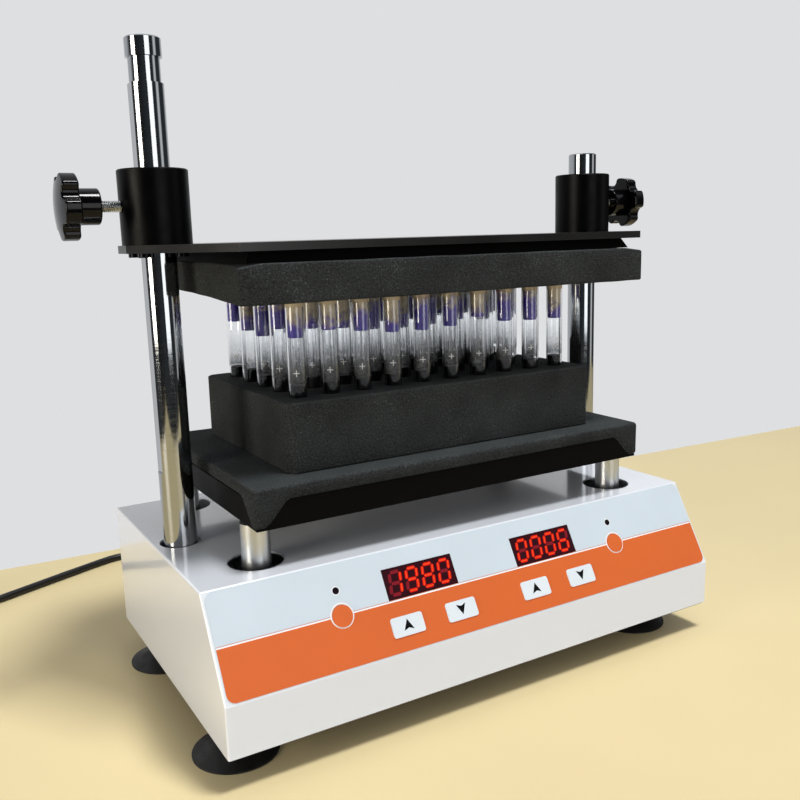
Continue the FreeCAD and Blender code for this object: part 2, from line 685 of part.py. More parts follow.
def display_windows():
    panes = [
        block("display_pane", around_middle(x, "window_width/2"),
              around_middle("window_up", "window_height/2"),
              ("0", "film_thick"))
        for x in ("speed_window_x", "time_window_x")
    ]
    return on_slope(compound("display_windows", *panes))


def compound(label, *items):
    item = doc.addObject("Part::Compound", label)
    item.Links = list(items)
    return item


def led_displays():
    modules = [
        block("display_module", around_middle(x, "window_width/2 - module_inset"),
              around_middle("window_up", "window_height/2 - module_inset"), ("-board_drop", "0"))
        for x in ("speed_window_x", "time_window_x")
    ]
    return on_slope(compound("led_displays", *modules))


def status_lamps():
    lamps = [
        rod("status_lamp", "lamp_radius", "board_drop + film_thick", "%d*round_key_x" % side, "lamp_up",
            "-board_drop")
        for side in SIDES.values()
    ]
    return on_slope(compound("status_lamps", *lamps))


def key(name):
    x, y = KEY_PLACES[name]
    owner = body(name + "_cap")
    face = sketch(owner, "XY_Plane", "key_travel + 0.1*film_thick")
    if x.endswith("round_key_x"):
        circle(face, "round_key_radius", x, y)
        pad(owner, face, "film_thick + key_proud - key_travel")
    else:
        rectangle(face, around_middle(x, "arrow_key_width/2"), around_middle(y, "arrow_key_height/2"))
        pad(owner, face, "film_thick + key_proud - key_travel")
        rounded(owner, "key_corner", upright)
    stem = rod(name + "_stem", "key_stem", "board_drop - switch_height + 3*key_travel + film_thick", x, y,
               "-board_drop + switch_height - 3*key_travel")
    return on_slope(fuse(name, owner, stem))


def key_switches():
    """One push switch below each key, with the well that its stem works in."""
    bodies = []
    for name, (x, y) in KEY_PLACES.items():
        case = block("switch_case", around_middle(x, "switch_body/2"), around_middle(y, "switch_body/2"),
                     ("-board_drop", "switch_height - board_drop"))
        well = rod("switch_well", "key_stem + stem_gap", "switch_height", x, y,
                   "-board_drop + switch_height - 4.5*key_travel")
        bodies.append(cut("switch_" + name, case, well))
    return on_slope(compound("key_switches", *bodies))


def control_board():
    board = block("control_card", around_middle("0", "board_width/2"),
                  around_middle("board_up", "board_height/2"),
                  ("-board_drop - board_thick", "-board_drop"))
    chips = [
        block("control_chip", around_middle("%d" % x, "%g" % (w / 2)),
              around_middle("board_up", "%g" % (d / 2)),
              ("-board_drop - board_thick - %g" % h, "-board_drop - board_thick/2"))
        for x, w, d, h in ((-120, 14, 14, 2), (-20, 34, 10, 3), (100, 22, 16, 3), (150, 12, 20, 4))
    ]
    return on_slope(fuse("control_board", board, *chips))


# Power inlet, switch and power board

def inlet_span(offset, half):
    return around_middle("inlet_x + " + offset, half)


def power_inlet():
    inner_x = around_middle("inlet_x", "inlet_width/2 - inlet_rim")
    inner_z = around_middle("inlet_z", "inlet_height/2 - inlet_rim")
    flange = block("inlet_flange_plate", around_middle("inlet_x", "inlet_width/2"),
                   (BACK, BACK + " + inlet_flange"),
                   around_middle("inlet_z", "inlet_height/2"))
    case = block("inlet_case", inner_x, (BACK + " - inlet_depth", BACK + " + inlet_flange/2"), inner_z)
    face = BACK + " + inlet_flange"
    socket = block("inlet_socket", inlet_span("socket_offset", "socket_width/2"),
                   (face + " - socket_depth", face + " + 1"), around_middle("inlet_z", "socket_height/2"))
    well = block("rocker_well", inlet_span("rocker_offset", "rocker_width/2 + rocker_gap"),
                 (face + " - socket_depth", face + " + 1"),
                 around_middle("inlet_z", "rocker_height/2 + 2*rocker_gap"))
    hollowed = cut("inlet_hollowed", fuse("inlet_solid", flange, case), socket, well)
    blades = [
        block("inlet_blade", inlet_span("socket_offset + %g" % dx, "1"),
              (face + " - socket_depth - 1", face + " - socket_depth + blade_length"),
              around_middle("inlet_z + %g" % dz, "2"))
        for dx, dz in ((-7, -2), (0, 3), (7, -2))
    ]
    return fuse("power_inlet", hollowed, *blades)


def rocker():
    """Rocker cap whose two halves slope to the pivot line; one half stands proud."""
    face = BACK + " + inlet_flange"
    owner = body("rocker_cap")
    profile = sketch(owner, "YZ_Plane", "inlet_x + rocker_offset - rocker_width/2")
    outline(profile, [
        (face + " + rocker_proud + rocker_rise", "inlet_z + rocker_height/2"),
        (face + " + rocker_proud", "inlet_z"),
        (face + " + rocker_proud - rocker_dip", "inlet_z - rocker_height/2"),
        (face + " - rocker_height/3", "inlet_z - rocker_height/3"),
        (face + " - rocker_height/3", "inlet_z + rocker_height/3"),
    ])
    pad(owner, profile, "rocker_width")
    return owner


def power_board():
    low = PAN_TOP + " + spacer_height"
    board = block("power_card", around_middle("power_x", "power_width/2"),
                  around_middle(POWER_Y, "power_depth/2"),
                  (low, low + " + board_thick"))
    spacers = [
        rod("power_spacer", "spacer_radius", "spacer_height + board_thick/2",
            "power_x + %d*(power_width/2 - 2*spacer_radius)" % sx,
            "%s + %d*(power_depth/2 - 2*spacer_radius)" % (POWER_Y, sy), PAN_TOP)
        for sx, sy in FEET
    ]
    top = low + " + board_thick/2"
    parts = [
        block("power_transformer", around_middle("power_x - 30", "19"), around_middle(POWER_Y, "17"),
              (top, top + " + 30")),
        block("power_heatsink", around_middle("power_x + 22", "28"),
              around_middle(POWER_Y + " + 20", "2.5"),
              (top, top + " + 32")),
        block("power_relay", around_middle("power_x + 50", "7"), around_middle(POWER_Y + " - 16", "10"),
              (top, top + " + 16")),
    ]
    for dx in (0, 20):
        parts.append(rod("power_capacitor", "8", "26", "power_x + %d + 4" % dx, POWER_Y + " - 10", top))
    return fuse("power_board", board, *spacers, *parts)


# Drive

def drive_bearing_housing():
    """Flanged housing with two bearing seats and a shoulder between them."""
    owner = spun("bearing_housing_blank", [
        ("shaft_radius + 4*fit + 3", PAN_TOP + " + bearing_seat/2"),
        ("shaft_radius + 4*fit + 3", PAN_TOP + " + bearing_seat"),
        ("bearing_outer + fit", PAN_TOP + " + bearing_seat"),
        ("bearing_outer + fit", PAN_TOP + " + bearing_seat + bearing_width"),
        ("bearing_outer - 4", PAN_TOP + " + bearing_seat + bearing_width"),
        ("bearing_outer - 4", PAN_TOP + " + drive_height - bearing_width"),
        ("bearing_outer + fit", PAN_TOP + " + drive_height - bearing_width"),
        ("bearing_outer + fit", PAN_TOP + " + drive_height"),
        ("drive_tube", PAN_TOP + " + drive_height"),
        ("drive_tube", PAN_TOP + " + flange_thick"),
        ("drive_base", PAN_TOP + " + flange_thick"),
        ("drive_base", PAN_TOP),
        ("0", PAN_TOP),
        ("0", PAN_TOP + " + bearing_seat/2"),
    ])
    holes = sketch(owner, "XY_Plane", PAN_TOP + " + flange_thick")
    for i in range(4):
        circle(holes, "screw_radius + screw_gap", "drive_bolt_ring*cos(%d)" % (45 + 90 * i),
               "drive_bolt_ring*sin(%d)" % (45 + 90 * i))
    pocket(owner, holes, "2*flange_thick")
    return at(owner, y=DRIVE_Y)


def ring(label, outer, inner, low, length, x="0", y="0"):
    item = cut(label, rod(label + "_outer", outer, length, z=low),
               rod(label + "_bore", inner, "3*(%s)" % length, z="%s - (%s)" % (low, length)))
    return at(item, x, y)


def drive_bearings():
    rings = [
        ring("drive_bearing", "bearing_outer", "shaft_radius + fit", PAN_TOP + " + " + low, "bearing_width")
        for low in ("bearing_seat", "drive_height - bearing_width")
    ]
    return at(compound("drive_bearings", *rings), y=DRIVE_Y)


def eccentric_shaft():
    """Straight shaft with a crank pin on its top, off its axis by the orbit."""
    low = PAN_TOP + " + bearing_seat"
    main = rod("shaft_main", "shaft_radius", "weight_bottom + weight_thick - (%s)" % low, z=low)
    pin = rod("shaft_pin", "pin_radius", DECK_TOP + " - weight_bottom - weight_thick", y="-orbit",
              z="weight_bottom + weight_thick")
    collar = rod("shaft_collar", "shaft_radius + 2", "pulley_bottom - (%s + drive_height) - fit" % PAN_TOP,
                 z=PAN_TOP + " + drive_height + fit")
    return at(fuse("eccentric_shaft", main, pin, collar), y=DRIVE_Y)


def pulley(label, radius, bore):
    """Belt pulley with a rim at each side."""
    seat = rod(label + "_seat", radius, "pulley_width", z="pulley_bottom")
    rims = [
        rod(label + "_rim", radius + " + rim_height", "pulley_rim", z=z)
        for z in ("pulley_bottom", "pulley_bottom + pulley_width - pulley_rim")
    ]
    return cut(label, fuse(label + "_blank", seat, *rims),
               rod(label + "_hole", bore + " + fit/2", "3*pulley_width", z="pulley_bottom - pulley_width"))


def counterweight():
    """Half disc on a hub, opposite the crank pin."""
    disc = rod("weight_disc", "weight_radius", "weight_thick", z="weight_bottom")
    half = block("weight_half", ("-weight_radius", "weight_radius"), ("0", "weight_radius"),
                 ("weight_bottom", "weight_bottom + weight_thick"))
    wanted = doc.addObject("Part::MultiCommon", "weight_sector")
    wanted.Shapes = [disc, half]
    hub = rod("weight_hub_disc", "weight_hub", "weight_thick", z="weight_bottom")
    bore = rod("weight_bore", "shaft_radius + fit/2", "3*weight_thick", z="weight_bottom - weight_thick")
    return at(cut("counterweight", fuse("weight_blank", wanted, hub), bore), y=DRIVE_Y)


def idler_bearings():
    """A flanged plain bearing at each side, for the guide cranks."""
    made = []
    for name, side in SIDES.items():
        flange = rod("idler_flange", "idler_base", "flange_thick", z=PAN_TOP)
        tube = rod("idler_sleeve", "idler_tube", "idler_height", z=PAN_TOP)
        bore = rod("idler_bore", "idler_journal + fit", "idler_height", z=PAN_TOP + " + flange_thick")
        holes = [
            rod("idler_screw_hole", "screw_radius + screw_gap", "3*flange_thick", "0",
                "%d*idler_bolt_ring" % sy,
                PAN_TOP + " - flange_thick")
            for sy in (-1, 1)
        ]
        made.append(at(cut("idler_bearing_" + name, fuse("idler_blank", flange, tube), bore, *holes),
                       "%d*idler_x" % side, DRIVE_Y))
    return compound("idler_bearings", *made)


def idler_crank(name):
    """Guide crank: it turns with the main shaft and keeps the moving plate from turning."""
    top = PAN_TOP + " + idler_height"
    journal = rod(name + "_journal", "idler_journal", "idler_height - flange_thick",
                  z=PAN_TOP + " + flange_thick + 4*fit")
    web = rod(name + "_web", "idler_web", "idler_web_thick", z=top + " + 4*fit")
    pin = rod(name + "_pin", "idler_pin", DECK_TOP + " - (%s)" % top, y="-orbit", z=top)
    side = SIDES[name.rsplit("_", 1)[1]]
    return at(fuse(name, journal, web, pin), "%d*idler_x" % side, DRIVE_Y)


def motor():
    case = rod("motor_case", "motor_radius", "motor_height", z=PAN_TOP)
    foot = rod("motor_foot", "motor_base", "flange_thick", z=PAN_TOP)
    nose = rod("motor_nose", "3*motor_shaft", "motor_height + 2", z=PAN_TOP)
    bore = rod("motor_bore", "motor_shaft + fit", "motor_height", z=PAN_TOP + " + flange_thick")
    holes = [
        rod("motor_screw_hole", "screw_radius + screw_gap", "3*flange_thick",
            "motor_bolt_ring*cos(%d)" % angle,
            "motor_bolt_ring*sin(%d)" % angle, PAN_TOP + " - flange_thick")
        for angle in (90, 210, 330)
    ]
    heads = [
        rod("motor_head_relief", "screw_head + screw_gap", "motor_height",
            "motor_bolt_ring*cos(%d)" % angle,
            "motor_bolt_ring*sin(%d)" % angle, PAN_TOP + " + flange_thick")
        for angle in (90, 210, 330)
    ]
    return at(cut("motor", fuse("motor_blank", case, foot, nose), bore, *holes, *heads), "motor_x", MOTOR_Y)


def motor_pulley():
    """Small belt pulley and the motor shaft that it is pressed on."""
    axle = rod("motor_axle", "motor_shaft",
               "pulley_bottom + pulley_width - (%s + flange_thick) + fit" % PAN_TOP,
               z=PAN_TOP + " + flange_thick + fit")
    wheel = pulley("motor_pulley_wheel", "motor_pulley", "motor_shaft")
    return at(compound("motor_pulley", axle, wheel), "motor_x", MOTOR_Y)


def drive_belt():
    """Closed loop round both pulleys: two arcs and two tangents, with the belt's thickness."""
    start = FreeCAD.Vector(0, size("deck_y") + size("orbit"), 0)
    end = FreeCAD.Vector(size("motor_x"), size("base_depth") / 2 - size("motor_back"), 0)
    run = end - start
    heading = math.atan2(run.y, run.x)

    def loop(extra):
        big = size("drive_pulley") + extra
        small = size("motor_pulley") + extra
        lean = math.acos((big - small) / run.Length)

        def spot(centre, radius, angle):
            return centre + FreeCAD.Vector(radius * math.cos(angle), radius * math.sin(angle), 0)

        upper, lower = heading + lean, heading - lean
        edges = [
            Part.Arc(spot(start, big, upper), spot(start, big, heading + math.pi),
                     spot(start, big, lower)).toShape(),
            Part.LineSegment(spot(start, big, lower), spot(end, small, lower)).toShape(),
            Part.Arc(spot(end, small, lower), spot(end, small, heading), spot(end, small, upper)).toShape(),
            Part.LineSegment(spot(end, small, upper), spot(start, big, upper)).toShape(),
        ]
        return Part.Wire(edges)

    rim = size("pulley_rim") + size("belt_gap")
    face = Part.Face(loop(size("belt_gap") + size("belt_thick"))).cut(Part.Face(loop(size("belt_gap")))).Faces[0]
    item = doc.addObject("Part::Feature", "drive_belt")
    item.Shape = face.extrude(FreeCAD.Vector(0, 0, size("pulley_width") - 2 * rim))
    item.Placement = FreeCAD.Placement(FreeCAD.Vector(0, 0, size("pulley_bottom") + rim),
                                       FreeCAD.Rotation())
    return item


def drive_bolts():
    """Bolts of the main bearing, the guide bearings and the motor."""
    made = []
    for i, (x, y) in enumerate(bolt_places()):
        pattern = screw("drive_bolt", "flange_thick + pan_sheet")
        made.append(at(pattern, x, y, PAN_TOP + " + flange_thick"))
    return compound("drive_bolts", *made)


# Platform: what the crank pins carry round

def moving_plate():
    owner = body("moving_plate")
    profile = sketch(owner, "XY_Plane", "deck_bottom")
    side, reach = "deck_width/2", "deck_ear_reach"
    front, back = "deck_y - deck_depth/2", "deck_y + deck_depth/2"
    ear_front, ear_back = "post_y - deck_ear/2", "post_y + deck_ear/2"
    outline(profile, [
        ("-" + side, front), (side, front), (side, ear_front), (reach, ear_front), (reach, ear_back),
        (side, ear_back), (side, back), ("-" + side, back), ("-" + side, ear_back), ("-" + reach, ear_back),
        ("-" + reach, ear_front), ("-" + side, ear_front),
    ])
    pad(owner, profile, "deck_thick")
    holes = sketch(owner, "XY_Plane", DECK_TOP)
    circle(holes, "deck_bearing + fit/2", "0", "deck_y")
    for side_sign in SIDES.values():
        circle(holes, "idler_pin + idler_gap", "%d*idler_x" % side_sign, "deck_y")
        circle(holes, "post_spigot + spigot_gap", "%d*post_x" % side_sign, "post_y")
        for row in (-1, 1):
            circle(holes, "tray_spigot + spigot_gap", "%d*tray_post_x" % side_sign,
                   "deck_y + %d*tray_post_spread/2" % row)
    pocket(owner, holes, "2*deck_thick")
    return owner


def platform_bearing():
    return ring("platform_bearing", "deck_bearing", "pin_radius + fit", "deck_bottom", "deck_thick", "0",
                "deck_y")


def tray_post_places(z=0.0):
    rows = [size("deck_y") + row * size("tray_post_spread") / 2 for row in (-1, 1)]
    return [(side * size("tray_post_x"), y, z) for side in SIDES.values() for y in rows]


def tray_posts():
    pattern = spun("tray_post_pattern", [
        ("0", "deck_bottom"), ("tray_spigot", "deck_bottom"), ("tray_spigot", DECK_TOP),
        ("tray_post_radius", DECK_TOP), ("tray_post_radius", "tray_bottom"), ("tray_rivet", "tray_bottom"),
        ("tray_rivet", TRAY_FLOOR), ("0", TRAY_FLOOR),
    ])
    return group("tray_posts", pattern, tray_post_places())


def wall(label, role, half, near, far):
    """A tray wall: upright, with slanted ends."""
    owner = body(label)
    profile = sketch(owner, role)
    middle = "deck_y" if role == "YZ_Plane" else "0"
    foot = "%s + %s" % (middle, half), "%s - %s" % (middle, half)
    outline(profile, [
        (foot[1], "tray_bottom"), (foot[0], "tray_bottom"), (foot[0], TRAY_FLOOR),
        (foot[0] + " - tray_slant", "tray_bottom + tray_wall"),
        (foot[1] + " + tray_slant", "tray_bottom + tray_wall"),
        (foot[1], TRAY_FLOOR),
    ])
    pad(owner, profile, "(%s) - (%s)" % (far, near))
    return at(owner, near) if role == "YZ_Plane" else at(owner, y=far)


def tray():
    """Tray bent from sheet: a floor and four walls whose ends are slanted, open at the corners."""
    side, front, back = "tray_width/2", "deck_y - tray_depth/2", "deck_y + tray_depth/2"
    floor = block("tray_sheet", ("-" + side, side), (front, back), ("tray_bottom", TRAY_FLOOR))
    walls = [
        wall("tray_front_wall", "XZ_Plane", side, front, front + " + sheet"),
        wall("tray_back_wall", "XZ_Plane", side, back + " - sheet", back),
        wall("tray_left_wall", "YZ_Plane", "tray_depth/2", "-" + side, "-%s + sheet" % side),
        wall("tray_right_wall", "YZ_Plane", "tray_depth/2", side + " - sheet", side),
    ]
    holes = [
        rod("tray_hole", "tray_rivet + spigot_gap", "3*sheet", "%d*tray_post_x" % sx,
            "deck_y + %d*tray_post_spread/2" % sy, "tray_bottom - sheet")
        for sx, sy in FEET
    ]
    return cut("tray", fuse("tray_blank", floor, *walls), *holes)


def lower_foam():
    """Foam that fills the tray and bulges over its walls."""
    inside = block("lower_foam_inside", around_middle("0", "tray_width/2 - sheet - foam_gap"),
                   around_middle("deck_y", "tray_depth/2 - sheet - foam_gap"),
                   (TRAY_FLOOR, "lower_foam_top"))
    owner = body("lower_foam_crown")
    profile = sketch(owner, "XY_Plane", "tray_bottom + tray_wall + foam_gap")
    rectangle(profile, around_middle("0", "tray_width/2 + lower_foam_over"),
              around_middle("deck_y", "tray_depth/2 + lower_foam_over"))
    pad(owner, profile, "lower_foam_top - (tray_bottom + tray_wall + foam_gap)")
    return fuse("lower_foam", inside, owner)


def tube_places():
    columns, rows = int(size("tube_columns")), int(size("tube_rows"))
    return [
        ((i - (columns - 1) / 2) * size("column_pitch"),
         size("deck_y") + (j - (rows - 1) / 2) * size("row_pitch"), 0)
        for j in range(rows)
        for i in range(columns)
    ]


TUBE_BOTTOM = "(lower_foam_top + rack_floor + well_gap)"
GLASS_TOP = "(upper_foam_bottom - stopper_head)"


def tube_rack():
    owner = body("rack_blank")
    profile = sketch(owner, "XY_Plane", "lower_foam_top")
    rectangle(profile, around_middle("0", "rack_width/2"), around_middle("deck_y", "rack_depth/2"))
    pad(owner, profile, "rack_top - lower_foam_top")
    rounded(owner, "rack_corner", upright, "Chamfer")
    well = rod("rack_well", "tube_radius + well_gap", "rack_top", z="lower_foam_top + rack_floor")
    wells = group("rack_wells", well, tube_places())
    item = cut("tube_rack", owner, wells)
    return item


def tubes():
    """Round-bottomed glass tubes."""
    bottom = TUBE_BOTTOM + " + tube_radius"
    outside = fuse("tube_outside", rod("tube_body", "tube_radius", "%s - (%s)" % (GLASS_TOP, bottom),
                                       z=bottom),
                   ball("tube_end", "tube_radius", bottom))
    inside = fuse("tube_inside", rod("tube_bore", "tube_radius - tube_wall", GLASS_TOP, z=bottom),
                  ball("tube_bore_end", "tube_radius - tube_wall", bottom))
    return group("tubes", cut("tube_pattern", outside, inside), tube_places())


def ball(label, radius, z):
    item = doc.addObject("Part::Sphere", label)
    bind(item, {"Radius": radius})
    return at(item, z=z)


def stoppers():
    plug = rod("stopper_plug_rod", "tube_radius - tube_wall - stopper_gap", "stopper_plug + stopper_head",
               z=GLASS_TOP + " - stopper_plug")
    head = rod("stopper_cap", "tube_radius", "stopper_head", z=GLASS_TOP)
    return group("stoppers", fuse("stopper_pattern", plug, head), tube_places())


def left_post():
    """Tall post with a swing neck below its head and a clamping flat on its outer side."""
    owner = spun("left_post_turned", [
        ("0", "deck_bottom"), ("post_spigot", "deck_bottom"), ("post_spigot", DECK_TOP),
        ("post_radius", DECK_TOP),
        ("post_radius", "left_neck_bottom"), ("neck_radius", "left_neck_bottom"),
        ("neck_radius", "left_neck_top"),
        ("post_radius", "left_neck_top"), ("post_radius", "left_post_top - post_chamfer"),
        ("post_radius - post_chamfer", "left_post_top"), ("0", "left_post_top"),
    ])
    flat = block("left_post_flat", ("-2*post_radius", "flat_depth - post_radius"),
                 ("-post_radius", "post_radius"),
                 ("flat_bottom", "left_neck_bottom"))
    return at(cut("left_post", owner, flat), "-post_x", "post_y")


def right_post():
    owner = spun("right_post", [
        ("0", "deck_bottom"), ("post_spigot", "deck_bottom"), ("post_spigot", DECK_TOP),
        ("post_radius", DECK_TOP),
        ("post_radius", "right_post_top - post_chamfer"), ("post_radius - post_chamfer", "right_post_top"),
        ("0", "right_post_top"),
    ])
    return at(owner, "post_x", "post_y")


# Top clamp: what slides on the tall posts

def top_plate():
    owner = body("top_plate")
    profile = sketch(owner, "XY_Plane", PLATE_BOTTOM)
    wide, reach = "top_plate_width/2", "top_plate_reach"
    front, back = around_middle("deck_y", "top_plate_depth/2")
    end_front, end_back = around_middle("post_y", "top_plate_end/2")
    outline(profile, [
        ("-" + wide, front), (wide, front), (reach, end_front), (reach, end_back), (wide, back),
        ("-" + wide, back),
        ("-" + reach, end_back), ("-" + reach, end_front),
    ])
    pad(owner, profile, "top_plate_thick")
    holes = sketch(owner, "XY_Plane", PLATE_TOP)
    for side in SIDES.values():
        circle(holes, "post_radius + plate_post_gap", "%d*post_x" % side, "post_y")
        for i in range(4):
            circle(holes, "screw_radius + screw_gap", "%d*post_x + collar_screw_ring*cos(%d)" % (side,
                    45 + 90 * i),
                   "post_y + collar_screw_ring*sin(%d)" % (45 + 90 * i))
    pocket(owner, holes, "2*top_plate_thick")
    return owner


def collar(name):
    side = SIDES[name.split("_")[0]]
    owner = spun(name + "_turned", [
        ("post_radius + collar_fit", PLATE_TOP), ("collar_radius", PLATE_TOP),
        ("collar_radius", PLATE_TOP + " + collar_height - collar_chamfer"),
        ("collar_radius - collar_chamfer", PLATE_TOP + " + collar_height"),
        ("post_radius + collar_fit", PLATE_TOP + " + collar_height"),
    ])
    clamp = rod(name + "_thread", "stud_radius + stud_gap", "2*collar_radius", z=CLAMP_Z,
                along="x" if side > 0 else "-x")
    holes = [
        rod(name + "_screw_hole", "screw_radius + screw_gap", "collar_screw_length",
            "collar_screw_ring*cos(%d)" % angle,
            "collar_screw_ring*sin(%d)" % angle, PLATE_TOP + " - top_plate_thick")
        for angle in (45, 135, 225, 315)
    ]
    return at(cut(name, owner, clamp, *holes), "%d*post_x" % side, "post_y")


def collar_screws():
    """Screws from below that hold the collars to the top plate."""
    made = []
    for side in SIDES.values():
        for angle in (45, 135, 225, 315):
            item = screw("collar_screw", "collar_screw_length - 0.5")
            item.Placement = FreeCAD.Placement(FreeCAD.Vector(),
                                               FreeCAD.Rotation(FreeCAD.Vector(1, 0, 0), 180))
            made.append(at(item, "%d*post_x + collar_screw_ring*cos(%d)" % (side, angle),
                           "post_y + collar_screw_ring*sin(%d)" % angle, PLATE_BOTTOM))
    return compound("collar_screws", *made)


def flared(label, x, y, low, height, flare):
    """A flat solid whose sides lean inwards as they rise."""
    owner = body(label)
    profile = sketch(owner, "XY_Plane", low)
    rectangle(profile, around_middle("0", x), around_middle("deck_y", y))
    pad(owner, profile, height)
    bind(owner.Tip, {"TaperAngle": "-atan(%s / (%s))" % (flare, height)})
    return owner


def upper_pan():
    """Shallow pan, open below, between the top plate and the upper foam."""
    half_x, half_y = "upper_foam_width/2 - pan_inset", "upper_foam_depth/2 - pan_inset"
    outside = flared("upper_pan_outside", half_x, half_y, UPPER_FOAM_TOP, "pan_drop", "pan_flare")
    inside = flared("upper_pan_inside", half_x + " - sheet", half_y + " - sheet", UPPER_FOAM_TOP,
                    "pan_drop - sheet",
                    "pan_flare")
    return cut("upper_pan", outside, inside)


def upper_foam():
    """Foam pad under the top plate, with a crown that fills the pan."""
    slab = block("upper_foam_slab", around_middle("0", "upper_foam_width/2"),
                 around_middle("deck_y", "upper_foam_depth/2"), ("upper_foam_bottom", UPPER_FOAM_TOP))
    fill = block("upper_foam_fill",
                 around_middle("0", "upper_foam_width/2 - pan_inset - pan_flare - 2*sheet"),
                 around_middle("deck_y", "upper_foam_depth/2 - pan_inset - pan_flare - 2*sheet"),
                 (UPPER_FOAM_TOP + " - 1", UPPER_FOAM_TOP + " + pan_drop - sheet"))
    return fuse("upper_foam", slab, fill)


# Clamp screws

def star_knob(name):
    """Moulded star knob, drawn with its domed outer face down and its boss up, then turned to the side."""
    which = name.split("_")[0]
    boss_top = "knob_thick + %s_boss" % which
    owner = body(name + "_moulding")
    profile = sketch(owner, "XZ_Plane")
    corners = [("0", "0"), ("0", boss_top), ("boss_radius", boss_top), ("boss_radius", "knob_thick"),
               ("knob_radius", "knob_thick"), ("knob_radius", "knob_dome")]
    path(profile, corners)
    last = len(corners) - 1
    reach, rise = size("knob_radius"), size("knob_dome")
    curve = (reach ** 2 + rise ** 2) / (2 * rise)
    down = 1.5 * math.pi
    whole = Part.Circle(FreeCAD.Vector(0, curve, 0), FreeCAD.Vector(0, 0, 1), curve)
    dome = Part.ArcOfCircle(whole, down, down + math.asin(reach / curve))
    arc = profile.addGeometry(dome, False)
    profile.addConstraint(Sketcher.Constraint("Coincident", arc, 1, 0, 1))
    profile.addConstraint(Sketcher.Constraint("Coincident", arc, 2, last - 1, 2))
    profile.addConstraint(Sketcher.Constraint("DistanceX", -1, 1, arc, 3, 0.0))
    feature(owner, "Revolution", profile, {}, ReferenceAxis=(profile, ["V_Axis"]), Angle=360)
    scallop = sketch(owner, "XY_Plane", "knob_thick")
    turn = which + "_knob_turn"
    circle(scallop, "knob_scallop", "(knob_radius + knob_scallop_out)*sin(%s)" % turn,
           "(knob_radius + knob_scallop_out)*cos(%s)" % turn)
    bite = pocket(owner, scallop, "2*knob_thick")
    pattern = owner.newObject("PartDesign::PolarPattern", owner.Name + "_pattern")
    pattern.Originals = [bite]
    pattern.Axis = (owner.Origin.OriginFeatures[2], [""])
    pattern.Angle = 360
    bind(pattern, {"Occurrences": "knob_lobes"})
    owner.Tip = pattern

    def lobe_corner(edge):
        return upright(edge) and edge.BoundBox.ZMax < size("knob_thick") + 1e-3

    def rim(edge):
        on_boss = edge.BoundBox.ZMin > size("knob_thick") + 1e-3
        outer = min(math.hypot(vertex.X, vertex.Y) for vertex in edge.Vertexes) > size("boss_radius") + 0.1
        return not upright(edge) and (on_boss or outer) and edge.BoundBox.ZLength < size("knob_dome")

    rounded(owner, "knob_lobe_round", lobe_corner)
    rounded(owner, "knob_edge_round", rim)
    bore = sketch(owner, "XY_Plane", boss_top)
    circle(bore, "stud_radius")
    pocket(owner, bore, "stud_depth")
    owner.Placement = FreeCAD.Placement(FreeCAD.Vector(), ALONG["x" if which == "left" else "-x"])
    return at(owner, "%d*%s_knob_end" % (SIDES[which], which), "post_y", CLAMP_Z)


# Where the tip of each clamp screw stops: the flat of the left post, the round of the right one
TIP = {"left": "(post_x + post_radius - flat_depth + tip_gap)", "right": "(post_x + post_radius + tip_gap)"}


def stud(name):
    """Threaded stud from inside the knob to the soft tip."""
    which = name.split("_")[0]
    side = SIDES[which]
    far = "(%s_knob_end - knob_thick - %s_boss + stud_depth)" % (which, which)
    near = "(%s + pad_length)" % TIP[which]
    return rod(name, "stud_radius", "%s - %s" % (far, near), "%d*%s" % (side, near), "post_y", CLAMP_Z,
               along="x" if side > 0 else "-x")


def clamp_pad(name):
    """Soft tip that doesn't turn when the knob is turned."""
    which = name.split("_")[0]
    side = SIDES[which]
    return rod(name, "pad_radius", "pad_length", "%d*%s" % (side, TIP[which]), "post_y", CLAMP_Z,
               along="x" if side > 0 else "-x")


# Mains cord

CORD_ROUTE = [
    (-144, 199, 66),
    (-144, 221, 63.5),
    (-141.5, 239, 50),
    (-137, 253, 32),
    (-132.5, 268, 16.5),
    (-129, 285, 7),
    (-130, 304.8, 3.7),
    (-139.4, 322.4, 3.7),
    (-155.9, 333.5, 3.7),
    (-175.7, 335.6, 3.7),
    (-203, 325, 3.7),
    (-246, 306.5, 3.7),
    (-299, 283, 3.7),
    (-340, 266, 3.7),
]


def cord():
    """Cord from the connector to the coil: straight runs joined by tangent arcs."""
    points = [FreeCAD.Vector(*point) for point in CORD_ROUTE]
    radius = size("cord_radius")
    edges, radii, start = [], [], points[0]
    for before, point, after in zip(points, points[1:], points[2:]):
        arrive, leave = point - before, after - point
        turn = arrive.getAngle(leave)
        reach = 0.45 * min(arrive.Length, leave.Length)
        bend = reach / math.tan(turn / 2)
        arrive.normalize()
        leave.normalize()
        inward = (leave - arrive).normalize()
        first, last = point - arrive * reach, point + leave * reach
        middle = point + inward * (bend / math.cos(turn / 2) - bend)
        edges += [Part.LineSegment(start, first).toShape(), Part.Arc(first, middle, last).toShape()]
        radii.append(round(bend, 1))
        start = last
    edges.append(Part.LineSegment(start, points[-1]).toShape())
    path = Part.Wire(edges)
    heading = points[1] - points[0]
    section = Part.Wire([Part.Circle(points[0], heading, radius).toShape()])
    item = doc.addObject("Part::Feature", "cord")
    item.Shape = path.makePipeShell([section], True, True)
    print("cord bend radii", radii, "length", round(path.Length, 1), "volume ratio",
          round(item.Shape.Volume / (math.pi * radius ** 2 * path.Length), 4))
    return item


def cord_coil():
    return ring("cord_coil", "coil_outer", "coil_inner", "0", "coil_height", "coil_x", "coil_y")


